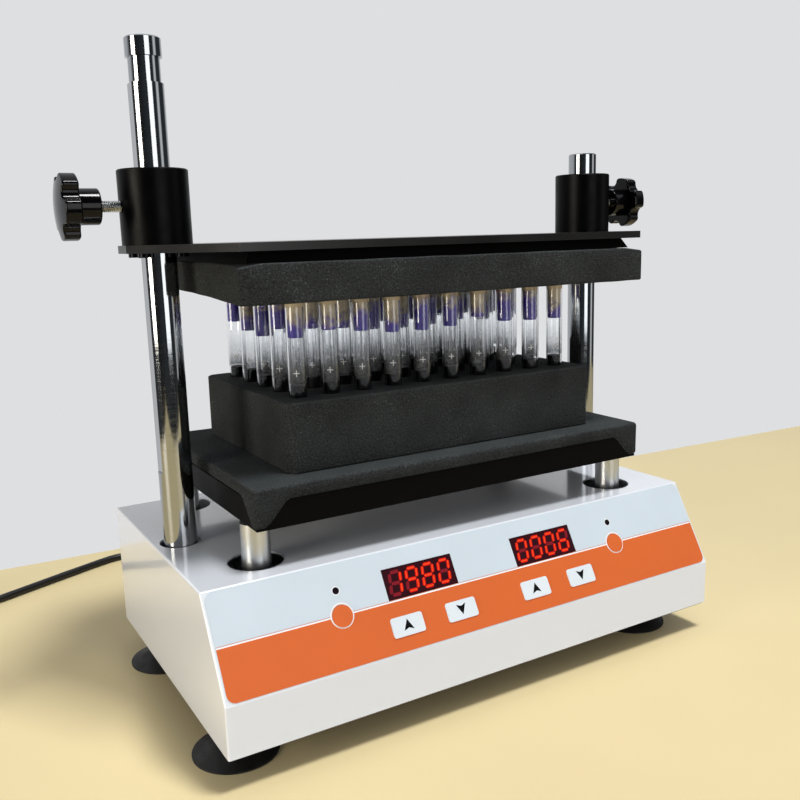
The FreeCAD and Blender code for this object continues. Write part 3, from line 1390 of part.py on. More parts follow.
def coil_tie():
    """Strap round all turns of the coil, at its near side."""
    low = "coil_inner - tie_gap"
    outer = block("tie_outer", around_middle("0", "tie_width/2"),
                  ("-coil_outer - tie_gap - tie_thick", "-(%s) + tie_thick" % low),
                  ("0", "coil_height + tie_gap + tie_thick"))
    inner = block("tie_inner", around_middle("0", "tie_width"),
                  ("-coil_outer - tie_gap", "-(%s)" % low), ("-tie_thick", "coil_height + tie_gap"))
    return at(cut("coil_tie", outer, inner), "coil_x", "coil_y")


def connector():
    """Appliance connector pushed into the inlet, with its tapered strain relief."""
    middle = "inlet_x + socket_offset"
    face = "base_depth/2 + inlet_flange"
    nose = block("connector_nose", around_middle(middle, "socket_width/2 - case_gap"),
                 (face + " - socket_depth + case_gap", face + " + 4"),
                 around_middle("inlet_z", "socket_height/2 - case_gap"))
    grip = block("connector_grip", around_middle(middle, "socket_width/2 + 1"),
                 (face + " + case_gap", face + " + 34"),
                 around_middle("inlet_z", "socket_height/2 + 1"))
    relief = doc.addObject("Part::Cone", "connector_relief")
    relief.Placement = FreeCAD.Placement(FreeCAD.Vector(), ALONG["y"])
    bind(relief, {"Radius1": "2*cord_radius", "Radius2": "cord_radius + 1",
                  "Height": "199 - (%s) - 33" % face})
    at(relief, middle, face + " + 33", "inlet_z")
    blades = [
        block("connector_slot", inlet_span("socket_offset + %g" % dx, "1 + case_gap"),
              (face + " - socket_depth - 1", face + " - socket_depth + blade_length + 1"),
              around_middle("inlet_z + %g" % dz, "2 + case_gap"))
        for dx, dz in ((-7, -2), (0, 3), (7, -2))
    ]
    return cut("connector", fuse("connector_blank", nose, grip, relief), *blades)


def plug():
    """Moulded mains plug lying beside the coil, its strain relief against the last turn."""
    x, start, z = "coil_x - 40", "coil_y - 29", "10.6"
    relief = doc.addObject("Part::Cone", "plug_relief")
    relief.Placement = FreeCAD.Placement(FreeCAD.Vector(), FreeCAD.Rotation(FreeCAD.Vector(1, 0, 0), 90))
    bind(relief, {"Radius1": "cord_radius + 0.6", "Radius2": "2*cord_radius", "Height": "24"})
    at(relief, x, start, z)
    grip = block("plug_grip", around_middle(x, "13"), (start + " - 50", start + " - 23"), ("0.1", "21.1"))
    pins = [
        block("plug_pin", around_middle("%s + %g" % (x, dx), "%g" % half_x),
              (start + " - 68", start + " - 49"),
              around_middle("%s + %g" % (z, dz), "%g" % half_z))
        for dx, dz, half_x, half_z in ((-6.3, 2.5, 0.8, 3.2), (6.3, 2.5, 0.8, 3.2), (0, -5.5, 2.2, 2.2))
    ]
    return fuse("plug", grip, relief, *pins)


NODES = {
    "base_pan": base_pan(),
    "housing_shell": housing_shell(),
    "rear_panel": rear_panel(),
    "rear_panel_screws": rear_panel_screws(),
    "suction_feet": suction_feet(),
    "foot_screws": foot_screws(),
    "control_overlay": control_overlay(),
    "display_windows": display_windows(),
    "led_displays": led_displays(),
    "status_lamps": status_lamps(),
    "key_switches": key_switches(),
    "control_board": control_board(),
    "power_board": power_board(),
    "power_inlet": power_inlet(),
    "switch_rocker": rocker(),
    "motor": motor(),
    "drive_belt": drive_belt(),
    "drive_bearing_housing": drive_bearing_housing(),
    "drive_bearings": drive_bearings(),
    "drive_bolts": drive_bolts(),
    "eccentric_shaft": eccentric_shaft(),
    "drive_pulley": at(pulley("drive_pulley_wheel", "drive_pulley", "shaft_radius"), y=DRIVE_Y),
    "motor_pulley": motor_pulley(),
    "counterweight": counterweight(),
    "idler_bearings": idler_bearings(),
    "idler_crank_left": idler_crank("idler_crank_left"),
    "idler_crank_right": idler_crank("idler_crank_right"),
    "moving_plate": moving_plate(),
    "platform_bearing": platform_bearing(),
    "tray_posts": tray_posts(),
    "tray": tray(),
    "lower_foam": lower_foam(),
    "tube_rack": tube_rack(),
    "tubes": tubes(),
    "stoppers": stoppers(),
    "left_post": left_post(),
    "right_post": right_post(),
    "top_plate": top_plate(),
    "left_collar": collar("left_collar"),
    "right_collar": collar("right_collar"),
    "collar_screws": collar_screws(),
    "upper_pan": upper_pan(),
    "upper_foam": upper_foam(),
    "left_knob": star_knob("left_knob"),
    "right_knob": star_knob("right_knob"),
    "left_stud": stud("left_stud"),
    "right_stud": stud("right_stud"),
    "left_clamp_pad": clamp_pad("left_clamp_pad"),
    "right_clamp_pad": clamp_pad("right_clamp_pad"),
    "cord": cord(),
    "cord_coil": cord_coil(),
    "coil_tie": coil_tie(),
    "connector": connector(),
    "plug": plug(),
}
for name in KEY_PLACES:
    NODES[name] = key(name)

doc.recompute()
failed = [item.Label for item in doc.Objects if "Invalid" in item.State or "Error" in item.State]
if failed:
    raise RuntimeError("objects failed: %s" % failed)
for name, item in NODES.items():
    item.Label = name
    if item.Shape.isNull() or not item.Shape.isValid() or not item.Shape.Solids:
        raise RuntimeError("no valid solid in " + name)

os.makedirs("parts", exist_ok=True)
for name, item in NODES.items():
    item.Shape.exportStep("parts/%s.step" % name)
    print(name, len(item.Shape.Solids), "solids", round(item.Shape.Volume / 1000, 2), "cm3")
print(len(NODES), "nodes")
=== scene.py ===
import math

import bmesh
import bpy
from mathutils import Matrix, Vector, noise


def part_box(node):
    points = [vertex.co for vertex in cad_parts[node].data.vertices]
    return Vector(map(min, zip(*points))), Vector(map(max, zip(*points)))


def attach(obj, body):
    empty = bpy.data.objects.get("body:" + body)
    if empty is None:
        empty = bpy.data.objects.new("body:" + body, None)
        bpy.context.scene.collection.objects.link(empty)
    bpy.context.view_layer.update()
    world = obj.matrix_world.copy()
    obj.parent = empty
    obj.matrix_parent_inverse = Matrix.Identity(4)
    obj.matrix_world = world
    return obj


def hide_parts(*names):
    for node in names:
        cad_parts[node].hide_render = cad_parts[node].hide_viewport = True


bl_info = {
    "name": "Tube Mixer Look",
    "version": (1, 0, 0),
    "blender": (4, 5, 0),
    "location": "View3D > Sidebar > Tube Mixer",
    "description": "Dresses the CAD frame of a multi-tube vortex mixer",
    "category": "Object",
}

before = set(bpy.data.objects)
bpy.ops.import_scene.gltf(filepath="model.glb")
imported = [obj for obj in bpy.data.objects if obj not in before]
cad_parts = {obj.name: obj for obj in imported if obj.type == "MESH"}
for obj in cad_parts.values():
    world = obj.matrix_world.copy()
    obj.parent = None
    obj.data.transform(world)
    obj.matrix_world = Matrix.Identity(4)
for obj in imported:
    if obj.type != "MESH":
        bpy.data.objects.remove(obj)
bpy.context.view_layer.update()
MM = 0.001

# The cord's route from the connector to the coil, in metres, as in the part's source
CORD_ROUTE = [
    (-0.144, 0.199, 0.066),
    (-0.144, 0.221, 0.0635),
    (-0.1415, 0.239, 0.05),
    (-0.137, 0.253, 0.032),
    (-0.1325, 0.268, 0.0165),
    (-0.129, 0.285, 0.007),
    (-0.13, 0.3048, 0.0037),
    (-0.1394, 0.3224, 0.0037),
    (-0.1559, 0.3335, 0.0037),
    (-0.1757, 0.3356, 0.0037),
    (-0.203, 0.325, 0.0037),
    (-0.246, 0.3065, 0.0037),
    (-0.299, 0.283, 0.0037),
    (-0.34, 0.266, 0.0037),
]
CORD_WIDTH = 7 * MM

# The photograph's viewpoint, solved from about forty of its edges and corners
VIEW_FROM = (-0.36559, -0.60475, 0.33756)
VIEW_TURN, VIEW_DIP, VIEW_ROLL = (math.radians(a) for a in (30.48, 10.6, 1.63))
VIEW_LENS = 39.59

# Sizes and colours that a user would change

def millimetres(name, description, default):
    return bpy.props.FloatProperty(name=name, description=description, default=default * MM, unit="LENGTH",
                                   precision=5)


def hue(name, description, default):
    return bpy.props.StringProperty(name=name, description=description, default=default)


class PanelLook(bpy.types.PropertyGroup):
    foot: millimetres("Foot", "Height of the sloping panel's lower edge", 58.5)
    depth: millimetres("Depth", "Sloping panel, measured front to back", 36.0)
    print_side: millimetres("Print side", "Printed area, from the middle to each side", 210.6)
    print_low: millimetres("Print low", "Lower edge of the printed band, up the slope", 1.2)
    band_top: millimetres("Band top", "Upper edge of the printed band, up the slope", 35.0)
    corner: millimetres("Corner", "Rounded lower corners of the printed band", 5.8)
    line: millimetres("Line", "White line above the band", 0.8)
    stripe_gap: millimetres("Stripe gap", "Film between the white line and the fine stripe", 0.35)
    stripe: millimetres("Stripe", "Fine stripe above the white line", 0.3)
    key_ring: millimetres("Key ring", "White ring round each round key, width", 1.2)
    lamp_ring: millimetres("Lamp ring", "Pale ring round each lamp, width", 0.7)
    lamp_radius: millimetres("Lamp radius", "Radius of a lamp", 2.3)
    lamp_up: millimetres("Lamp up", "Middle of the lamps, up the slope", 52.3)
    digit_height: millimetres("Digit height", "Digits of the displays", 15.4)
    digit_width: millimetres("Digit width", "Digits of the displays", 8.4)
    digit_pitch: millimetres("Digit pitch", "From one digit to the next", 13.4)
    stroke: millimetres("Stroke", "Width of one segment of a digit", 2.5)
    core: bpy.props.FloatProperty(name="Core", default=0.34,
                                  description="Brighter middle of a lit segment, as a share of it")
    slant: bpy.props.FloatProperty(name="Slant", description="Lean of the digits", default=0.16)
    speed_reading: bpy.props.StringProperty(name="Speed", description="Digits of the left display",
                                            default="1980")
    time_reading: bpy.props.StringProperty(name="Time", description="Digits of the right display",
                                           default="0006")
    arrow: millimetres("Arrow", "Half the width of an arrow on a key", 4.0)
    film: hue("Film", "Colour of the overlay film", "#C9D6E0")
    band: hue("Band", "Colour of the printed band", "#D3662F")


class FoamLook(bpy.types.PropertyGroup):
    round: millimetres("Round", "Rounded cut edges of the foam", 1.6)
    crown: millimetres("Crown", "Rounded upper edge of the lower pad", 3.0)
    open_rim: millimetres("Open rim", "Tray wall missing at a corner, along the rim", 21.0)
    open_foot: millimetres("Open foot", "Tray wall missing at a corner, along the bottom", 4.0)
    cell: millimetres("Cell", "Distance between the grid lines of a pad's mesh", 4.0)
    waver: millimetres("Waver", "Unevenness of the cut faces", 0.35)
    seed: bpy.props.IntProperty(name="Seed", description="Start of that unevenness", default=5)
    tuck: millimetres("Tuck", "How far the lower pad is drawn in behind the tray's wall", 1.9)
    sag: millimetres("Sag", "Droop of the upper pad's front corners", 2.5)
    sag_depth: millimetres("Sag depth", "From the pad's front to where the droop ends", 40.0)
    rise: millimetres("Rise", "Rise of the upper pad's ends at the back", 1.57)
    curl: millimetres("Curl", "Rise of the upper pad's lower edge at its left end, towards the back", 7.0)
    curl_width: millimetres("Curl width", "Length of the left end that rises", 45.0)
    rack_corner: millimetres("Rack corner", "Cut corners of the foam rack", 6.0)
    well: millimetres("Well", "Radius of a well in the rack", 6.62)
    well_floor: millimetres("Well floor", "Foam left below a well", 5.6)
    dark: hue("Dark", "Colour in the pores", "#121416")
    light: hue("Light", "Colour of the cell walls", "#343839")


class TubeLook(bpy.types.PropertyGroup):
    columns: bpy.props.IntProperty(name="Columns", description="Tubes side to side", default=10)
    rows: bpy.props.IntProperty(name="Rows", description="Tubes front to back", default=5)
    column_pitch: millimetres("Column pitch", "Tubes side to side", 26.0)
    row_pitch: millimetres("Row pitch", "Tubes front to back", 30.0)
    middle: millimetres("Middle", "Middle of the rows, behind the housing's middle", 19.0)
    bore: millimetres("Bore", "Inside radius of a tube", 5.6)
    bottom: millimetres("Bottom", "Thickness of a tube's round bottom", 1.1)
    fill_height: millimetres("Fill", "Depth of the dark contents", 51.0)
    stopper_length: millimetres("Stopper", "Length of a stopper", 28.0)
    head: millimetres("Head", "Stopper above the glass", 5.5)
    mark_height: millimetres("Mark height", "Printed cross above the tube's bottom", 61.0)
    mark_width: millimetres("Mark width", "Printed cross on each tube", 4.4)
    mark_turn: bpy.props.FloatProperty(name="Mark turn", description="Where on the tube the cross is",
                                       default=math.radians(-118), unit="ROTATION")


class ClampLook(bpy.types.PropertyGroup):
    thread_pitch: millimetres("Thread pitch", "From one turn of a screw's thread to the next", 1.25)
    thread_depth: millimetres("Thread depth", "Depth of a screw's thread", 0.7)


class StageLook(bpy.types.PropertyGroup):
    table: hue("Table", "Colour of the table", "#E8D6A6")
    wall: hue("Wall", "Colour behind the table", "#DEDFE1")
    room: hue("Room", "Dim room behind the camera, seen in metal alone", "#3C4043")
    left: millimetres("Left", "Left edge of the table", -1100.0)
    right: millimetres("Right", "Right edge of the table", 1600.0)
    near: millimetres("Near", "Front edge of the table", -900.0)
    back_edge: millimetres("Back edge", "Back edge of the table on the object's middle line", 362.0)
    edge_turn: bpy.props.FloatProperty(name="Edge turn", description="Slope of that edge", default=-0.056)


# Materials

def linear(code):
    """An sRGB hex colour as linear numbers with alpha."""
    parts = [int(code[i:i + 2], 16) / 255 for i in (1, 3, 5)]
    return tuple(p / 12.92 if p <= 0.04045 else ((p + 0.055) / 1.055) ** 2.4 for p in parts) + (1.0,)


def node(tree, kind, inputs=None, **settings):
    """Add a node: settings are its own properties, inputs the values or links of its sockets."""
    made = tree.nodes.new(kind)
    for name, setting in settings.items():
        setattr(made, name, setting)
    for name, given in (inputs or {}).items():
        socket = made.inputs[name]
        if isinstance(given, bpy.types.NodeSocket):
            tree.links.new(given, socket)
        else:
            socket.default_value = given
    return made


def surface(name, **sockets):
    """A new material: its tree and its shader, with the given sockets set."""
    material = bpy.data.materials.new(name)
    material.use_nodes = True
    shader = material.node_tree.nodes["Principled BSDF"]
    for key, given in sockets.items():
        shader.inputs[key.replace("_", " ")].default_value = given
    return material, material.node_tree, shader


def place(tree, scale=(1, 1, 1)):
    """Object coordinates, stretched."""
    where = node(tree, "ShaderNodeTexCoord").outputs["Object"]
    return node(tree, "ShaderNodeMapping", {"Vector": where, "Scale": scale}).outputs["Vector"]


def grain(tree, size, detail=2.0, scale=(1, 1, 1), rough=0.5):
    """Noise whose lumps are about as large as a size in metres."""
    made = node(tree, "ShaderNodeTexNoise", {"Vector": place(tree, scale), "Scale": 1 / size,
                                             "Detail": detail, "Roughness": rough})
    return made.outputs["Fac"]


def ramp(tree, value, *stops):
    """Colours at places along a value."""
    made = node(tree, "ShaderNodeValToRGB", {"Fac": value})
    line = made.color_ramp
    while len(line.elements) < len(stops):
        line.elements.new(0.5)
    for element, (place_at, colour) in zip(line.elements, stops):
        element.position = place_at
        element.color = colour
    return made.outputs["Color"]


def span(tree, value, low, high, at_low=0.0, at_high=1.0):
    """A value carried from one range to another."""
    made = node(tree, "ShaderNodeMapRange", {"Value": value, "From Min": low, "From Max": high,
                                             "To Min": at_low, "To Max": at_high})
    return made.outputs["Result"]


def blend(tree, factor, first, second):
    """Two colours mixed by a factor."""
    mix = node(tree, "ShaderNodeMix", data_type="RGBA")
    colours = [socket for socket in mix.inputs if socket.type == "RGBA"]
    amount = [socket for socket in mix.inputs if socket.type == "VALUE"][0]
    for socket, given in zip([amount] + colours, (factor, first, second)):
        if isinstance(given, bpy.types.NodeSocket):
            tree.links.new(given, socket)
        else:
            socket.default_value = given
    return [socket for socket in mix.outputs if socket.type == "RGBA"][0]


def bump(tree, shader, height, distance):
    """Small relief, as a normal for the shader."""
    made = node(tree, "ShaderNodeBump", {"Height": height, "Distance": distance})
    tree.links.new(made.outputs["Normal"], shader.inputs["Normal"])


def join(tree, output, shader, socket):
    """Drive one of the shader's sockets from a node."""
    tree.links.new(output, shader.inputs[socket])


def powder_coat(name, colour, low, high, pebble=0.5, depth=0.02, coat=0.0, shine=0.35):
    """Baked powder paint on steel: a faint orange peel softens its reflections."""
    material, tree, shader = surface(name, Base_Color=linear(colour), Coat_Weight=coat, Coat_Roughness=0.09,
                                     Specular_IOR_Level=shine)
    cloud = grain(tree, 60 * MM, 3)
    join(tree, span(tree, cloud, 0.3, 0.7, low, high), shader, "Roughness")
    bump(tree, shader, grain(tree, pebble * MM, 1), depth * MM)
    return material


def film(name, colour, roughness=0.45, shine=0.25):
    """Screen-printed polyester film: an even colour under a fine matt texture."""
    material, tree, shader = surface(name, Roughness=roughness, Specular_IOR_Level=shine)
    tone = linear(colour)
    darker = tuple(c * 0.96 for c in tone[:3]) + (1.0,)
    join(tree, ramp(tree, grain(tree, 45 * MM), (0.3, darker), (0.7, tone)), shader, "Base Color")
    bump(tree, shader, grain(tree, 0.4 * MM, 1), 0.006 * MM)
    return material


def glow(name, colour, strength):
    """Light-emitting segment behind a red window, brighter towards its middle."""
    material, tree, shader = surface(name, Base_Color=linear("#200404"), Roughness=0.5,
                                     Specular_IOR_Level=0.1, Emission_Strength=strength)
    tone = linear(colour)
    weaker = tuple(c * 0.82 for c in tone[:3]) + (1.0,)
    join(tree, ramp(tree, grain(tree, 1.6 * MM), (0.35, weaker), (0.6, tone)), shader, "Emission Color")
    return material


def chromed():
    """Hard chrome on a ground bar: nearly a mirror, with hairlines from grinding."""
    material, tree, shader = surface("chromed_bar", Base_Color=linear("#A6A9AC"), Metallic=1.0)
    rings = grain(tree, 1.2 * MM, 3, (0.1, 0.1, 1.0))
    join(tree, span(tree, rings, 0.3, 0.7, 0.05, 0.12), shader, "Roughness")
    return material


def turned_metal(name, colour, low, high, line=0.5):
    """Turned metal: fine rings round the bar spread its highlights."""
    material, tree, shader = surface(name, Base_Color=linear(colour), Metallic=1.0)
    rings = grain(tree, line * MM, 2, (0.03, 0.03, 1.0))
    join(tree, span(tree, rings, 0.3, 0.7, low, high), shader, "Roughness")
    bump(tree, shader, rings, 0.0015 * MM)
    return material


def plated(name, colour, roughness=0.28):
    """Zinc plate: bright, with soft clouds from the bath."""
    material, tree, shader = surface(name, Metallic=1.0)
    tone = linear(colour)
    dull = tuple(c * 0.72 for c in tone[:3]) + (1.0,)
    cloud = grain(tree, 3 * MM, 3)
    join(tree, ramp(tree, cloud, (0.35, dull), (0.65, tone)), shader, "Base Color")
    join(tree, span(tree, cloud, 0.3, 0.7, roughness - 0.08, roughness + 0.12), shader, "Roughness")
    return material


def cast_metal():
    """Sand-cast aluminium: coarse, dull grain."""
    material, tree, shader = surface("sand_cast_aluminium", Base_Color=linear("#8C8E90"), Metallic=0.9,
                                     Roughness=0.55)
    bump(tree, shader, grain(tree, 0.9 * MM, 3), 0.12 * MM)
    return material


def moulded(name, colour, low, high, depth=0.01, coat=0.0, shine=0.4):
    """Injection-moulded plastic: slow waves in its gloss and a faint texture."""
    material, tree, shader = surface(name, Base_Color=linear(colour), Coat_Weight=coat, Coat_Roughness=0.05,
                                     Specular_IOR_Level=shine)
    join(tree, span(tree, grain(tree, 14 * MM, 3), 0.3, 0.7, low, high), shader, "Roughness")
    bump(tree, shader, grain(tree, 1.2 * MM, 2), depth * MM)
    return material


def soft_rubber(name, colour, low=0.5, high=0.75):
    """Moulded rubber: matt, with a dust-like bloom in patches."""
    material, tree, shader = surface(name)
    tone = linear(colour)
    bloom = tuple(min(1.0, c * 1.7 + 0.004) for c in tone[:3]) + (1.0,)
    cloud = grain(tree, 9 * MM, 4)
    join(tree, ramp(tree, cloud, (0.45, tone), (0.75, bloom)), shader, "Base Color")
    join(tree, span(tree, cloud, 0.3, 0.7, low, high), shader, "Roughness")
    bump(tree, shader, grain(tree, 0.5 * MM, 2), 0.015 * MM)
    return material


def open_foam(look):
    """Open-cell polyurethane foam: a dark sponge of 1 mm cells whose walls catch specks of light."""
    material, tree, shader = surface("open_cell_foam", Roughness=0.95, Specular_IOR_Level=0.2)
    fine = grain(tree, 1.1 * MM, 3, rough=0.8)
    patches = span(tree, grain(tree, 38 * MM, 2), 0.3, 0.7, -0.05, 0.05)
    mixed = node(tree, "ShaderNodeMath", {0: fine, 1: patches}, operation="ADD")
    light = linear(look.light)
    speck = tuple(min(1.0, c * 5) for c in light[:3]) + (1.0,)
    colour = ramp(tree, mixed.outputs[0], (0.34, linear(look.dark)), (0.6, light), (0.655, light),
                  (0.71, speck))
    # Painted light from above: faces turned upwards take a lighter copy of the foam's colours, so the tops
    # look lit and the sides shaded
    up = node(tree, "ShaderNodeSeparateXYZ", {"Vector": node(tree, "ShaderNodeTexCoord").outputs["Normal"]})
    painted_lit_pore, painted_top_light = [tuple(min(1.0, c * more) for c in light[:3]) + (1.0,) for more in (0.8, 1.9)]
    painted_lit_tops = ramp(tree, mixed.outputs[0], (0.36, painted_lit_pore), (0.6, painted_top_light), (0.655, painted_top_light), (0.71, speck))
    share = span(tree, up.outputs["Z"], 0.3, 1.0, 0.0, 0.85)
    join(tree, blend(tree, share, colour, painted_lit_tops), shader, "Base Color")
    cells = node(tree, "ShaderNodeTexVoronoi", {"Vector": place(tree), "Scale": 1 / (1.5 * MM)})
    both = node(tree, "ShaderNodeMath", {0: cells.outputs["Distance"], 1: fine}, operation="ADD")
    bump(tree, shader, both.outputs[0], 0.7 * MM)
    return material


def drawn_glass(low, high):
    """Drawn borosilicate glass: clear above, speckled grey and less clear just above the contents, fading
    upwards.
    """
    material, tree, shader = surface("drawn_glass", IOR=1.47, Roughness=0.02)
    where = node(tree, "ShaderNodeTexCoord")
    up = node(tree, "ShaderNodeSeparateXYZ", {"Vector": where.outputs["Object"]}).outputs["Z"]
    rise = ramp(tree, span(tree, up, low, high), (0.0, (0, 0, 0, 1)), (0.04, (1, 1, 1, 1)),
                (0.3, (0.3, 0.3, 0.3, 1)), (0.8, (0, 0, 0, 1)))
    glass_speckle = span(tree, grain(tree, 1.6 * MM, 4, rough=0.8), 0.42, 0.62)
    fog = node(tree, "ShaderNodeMath", {0: rise, 1: span(tree, glass_speckle, 0, 1, 0.3, 1.0)}, operation="MULTIPLY")
    join(tree, span(tree, fog.outputs[0], 0, 1, 1.0, 0.86), shader, "Transmission Weight")
    lower_grey = ramp(tree, fog.outputs[0], (0.0, linear("#FDFEFF")), (1.0, linear("#565D65")))
    join(tree, lower_grey, shader, "Base Color")
    return material


def stained_rubber(low, high):
    """Natural rubber stopper, stained between two heights by a violet dye that has crept up unevenly."""
    material, tree, shader = surface("stained_rubber", Roughness=0.55)
    where = node(tree, "ShaderNodeTexCoord")
    up = node(tree, "ShaderNodeSeparateXYZ", {"Vector": where.outputs["Object"]}).outputs["Z"]
    tone = node(tree, "ShaderNodeAttribute", attribute_name="tone").outputs["Fac"]
    height = span(tree, up, low, high)
    shift = node(tree, "ShaderNodeMath", {0: height, 1: span(tree, tone, 0, 1, -0.3, 0.12)}, operation="ADD")
    patches = span(tree, grain(tree, 5 * MM, 3), 0.2, 0.8, -0.2, 0.2)
    creep = node(tree, "ShaderNodeMath", {0: shift.outputs[0], 1: patches}, operation="ADD")
    colour = ramp(tree, creep.outputs[0], (0.25, linear("#20008A")), (0.42, linear("#2E0690")),
                  (0.62, linear("#8E8072")), (0.8, linear("#B9AA8C")))
    join(tree, colour, shader, "Base Color")
    bump(tree, shader, grain(tree, 0.8 * MM, 2), 0.02 * MM)
    return material


def dark_contents():
    """Dark aqueous dye with a skin of settled grains."""
    material, tree, shader = surface("dark_contents", Roughness=0.5, Specular_IOR_Level=0.05)
    settled = ramp(tree, grain(tree, 2 * MM, 3), (0.4, linear("#030205")), (0.7, linear("#0A070D")))
    join(tree, settled, shader, "Base Color")
    return material


def circuit_laminate():
    """Glass-epoxy circuit board under green solder mask, with darker traces."""
    material, tree, shader = surface("green_circuit_board", Roughness=0.35)
    cells = node(tree, "ShaderNodeTexVoronoi", {"Vector": place(tree, (1, 1, 0.2)), "Scale": 1 / (4 * MM)},
                 distance="MANHATTAN")
    traces = ramp(tree, cells.outputs["Distance"], (0.3, linear("#1E6B3C")), (0.42, linear("#0F4A27")))
    join(tree, traces, shader, "Base Color")
    return material


def table_top(look):
    """Satin laminate table: a warm pale tone with almost no grain, whose tint hardly reaches the object."""
    material, tree, shader = surface("table_laminate", Roughness=0.5, Specular_IOR_Level=0.3)
    tone = linear(look.table)
    darker = tuple(c * 0.97 for c in tone[:3]) + (1.0,)
    grey = sum(tone[:3]) / 3
    pale = tuple(grey + (c - grey) * 0.3 for c in tone[:3]) + (1.0,)
    own = ramp(tree, grain(tree, 220 * MM, 3), (0.35, darker), (0.65, tone))
    bounce = node(tree, "ShaderNodeLightPath").outputs["Is Diffuse Ray"]
    join(tree, blend(tree, bounce, own, pale), shader, "Base Color")
    return material


def dress(node_name, material):
    """Give a CAD node another material."""
    target = bpy.data.objects[node_name]
    if not target.material_slots:
        target.data.materials.append(material)
    for holder in target.material_slots:
        holder.material = material


# Mesh making

def piece(name, verts, faces, material, body, slot, smooth=False, angle=35):
    """A finished piece at the origin that rides on a body."""
    mesh = bpy.data.meshes.new(name)
    mesh.from_pydata([tuple(v) for v in verts], [], faces)
    return finished(name, mesh, material, body, slot, smooth, angle)


def finished(name, mesh, material, body, slot, smooth=False, angle=35, outward=True):
    """Put a mesh in the scene as a piece, with its normals outwards."""
    if outward:
        work = bmesh.new()
        work.from_mesh(mesh)
        bmesh.ops.remove_doubles(work, verts=work.verts, dist=1e-6)
        bmesh.ops.recalc_face_normals(work, faces=work.faces)
        work.to_mesh(mesh)
        work.free()
    if smooth:
        mesh.shade_smooth()
        mesh.set_sharp_from_angle(angle=math.radians(angle))
    mesh.materials.clear()
    mesh.materials.append(material)
    made = bpy.data.objects.new(name, mesh)
    bpy.context.scene.collection.objects.link(made)
    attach(made, body)
    return made


def lathe(profile, steps):
    """Vertices and faces of a profile of radii and heights, turned about Z and closed at both ends."""
    verts, faces = [], []
    for radius, height in profile:
        for i in range(steps):
            turn = 2 * math.pi * i / steps
            verts.append((radius * math.cos(turn), radius * math.sin(turn), height))
    for ring in range(len(profile) - 1):
        for i in range(steps):
            j = (i + 1) % steps
            a, b = ring * steps, (ring + 1) * steps
            faces.append((a + i, a + j, b + j, b + i))
    faces.append(tuple(range(steps))[::-1])
    faces.append(tuple(range((len(profile) - 1) * steps, len(profile) * steps)))
    return verts, faces


def rounded_outline(low, high, corners, steps=6):
    """Outline of a rectangle whose corners, from the lower left round, have their own radii."""
    points = []
    spots = [(low[0], low[1], 180), (high[0], low[1], 270), (high[0], high[1], 0), (low[0], high[1], 90)]
    for (x, y, start), radius in zip(spots, corners):
        inward_x = 1 if x == low[0] else -1
        inward_y = 1 if y == low[1] else -1
        centre = (x + inward_x * radius, y + inward_y * radius)
        count = steps if radius > 0 else 0
        for i in range(count + 1):
            turn = math.radians(start + 90 * i / max(count, 1))
            points.append((centre[0] + radius * math.cos(turn), centre[1] + radius * math.sin(turn)))
    return points


def soft_block(low, high, radius, cell, moved):
    """A block with rounded edges on a fine grid; moved(point) shifts each of its points."""
    def steps(a, b):
        inner = max(1, round((b - a - 2 * radius) / cell))
        ends = [a + radius * k / 3 for k in range(3)]
        middle = [a + radius + (b - a - 2 * radius) * k / inner for k in range(inner + 1)]
        return ends + middle + [b - radius * k / 3 for k in (2, 1, 0)]

    axes = [steps(low[k], high[k]) for k in range(3)]
    counts = [len(axis) for axis in axes]
    index, verts, faces = {}, [], []

    def corner(key):
        if key not in index:
            raw = Vector([axes[k][key[k]] for k in range(3)])
            core = Vector([min(max(raw[k], low[k] + radius), high[k] - radius) for k in range(3)])
            away = raw - core
            if away.length > 1e-9:
                raw = core + away.normalized() * radius
            index[key] = len(verts)
            verts.append(moved(raw))
        return index[key]

    for k in range(3):
        u, v = (k + 1) % 3, (k + 2) % 3
        for side in (0, counts[k] - 1):
            for i in range(counts[u] - 1):
                for j in range(counts[v] - 1):
                    keys = []
                    for di, dj in ((0, 0), (1, 0), (1, 1), (0, 1)):
                        key = [0, 0, 0]
                        key[k], key[u], key[v] = side, i + di, j + dj
                        keys.append(corner(tuple(key)))
                    faces.append(tuple(keys))
    return verts, faces


def plain_mesh(name, item):
    """The evaluated shape of an object as a mesh of its own; the object is removed."""
    bpy.context.view_layer.update()
    graph = bpy.context.evaluated_depsgraph_get()
    mesh = bpy.data.meshes.new_from_object(item.evaluated_get(graph))
    mesh.name = name
    bpy.data.objects.remove(item, do_unlink=True)
    return mesh


def working(name, verts, faces):
    """A temporary object for modifiers."""
    mesh = bpy.data.meshes.new(name + "_work")
    mesh.from_pydata([tuple(v) for v in verts], [], faces)
    made = bpy.data.objects.new(name + "_work", mesh)
    bpy.context.scene.collection.objects.link(made)
    return made


class Slope:
    """The sloping panel as a plane: x to the right, s up the slope, lift off its surface."""

    def __init__(self, look):
        low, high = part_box("housing_shell")
        self.front, self.foot = low[1], look.foot
        rise = high[2] - look.foot
        length = math.hypot(look.depth, rise)
        self.up = Vector((0, look.depth / length, rise / length))
        self.out = Vector((0, -rise / length, look.depth / length))

    def at(self, x, s, lift):
        return Vector((x, self.front, self.foot)) + self.up * s + self.out * lift


FILM_LIFT = 0.5 * MM
PRINT_LIFT = 0.03 * MM
KEY_FACE = 1.35 * MM


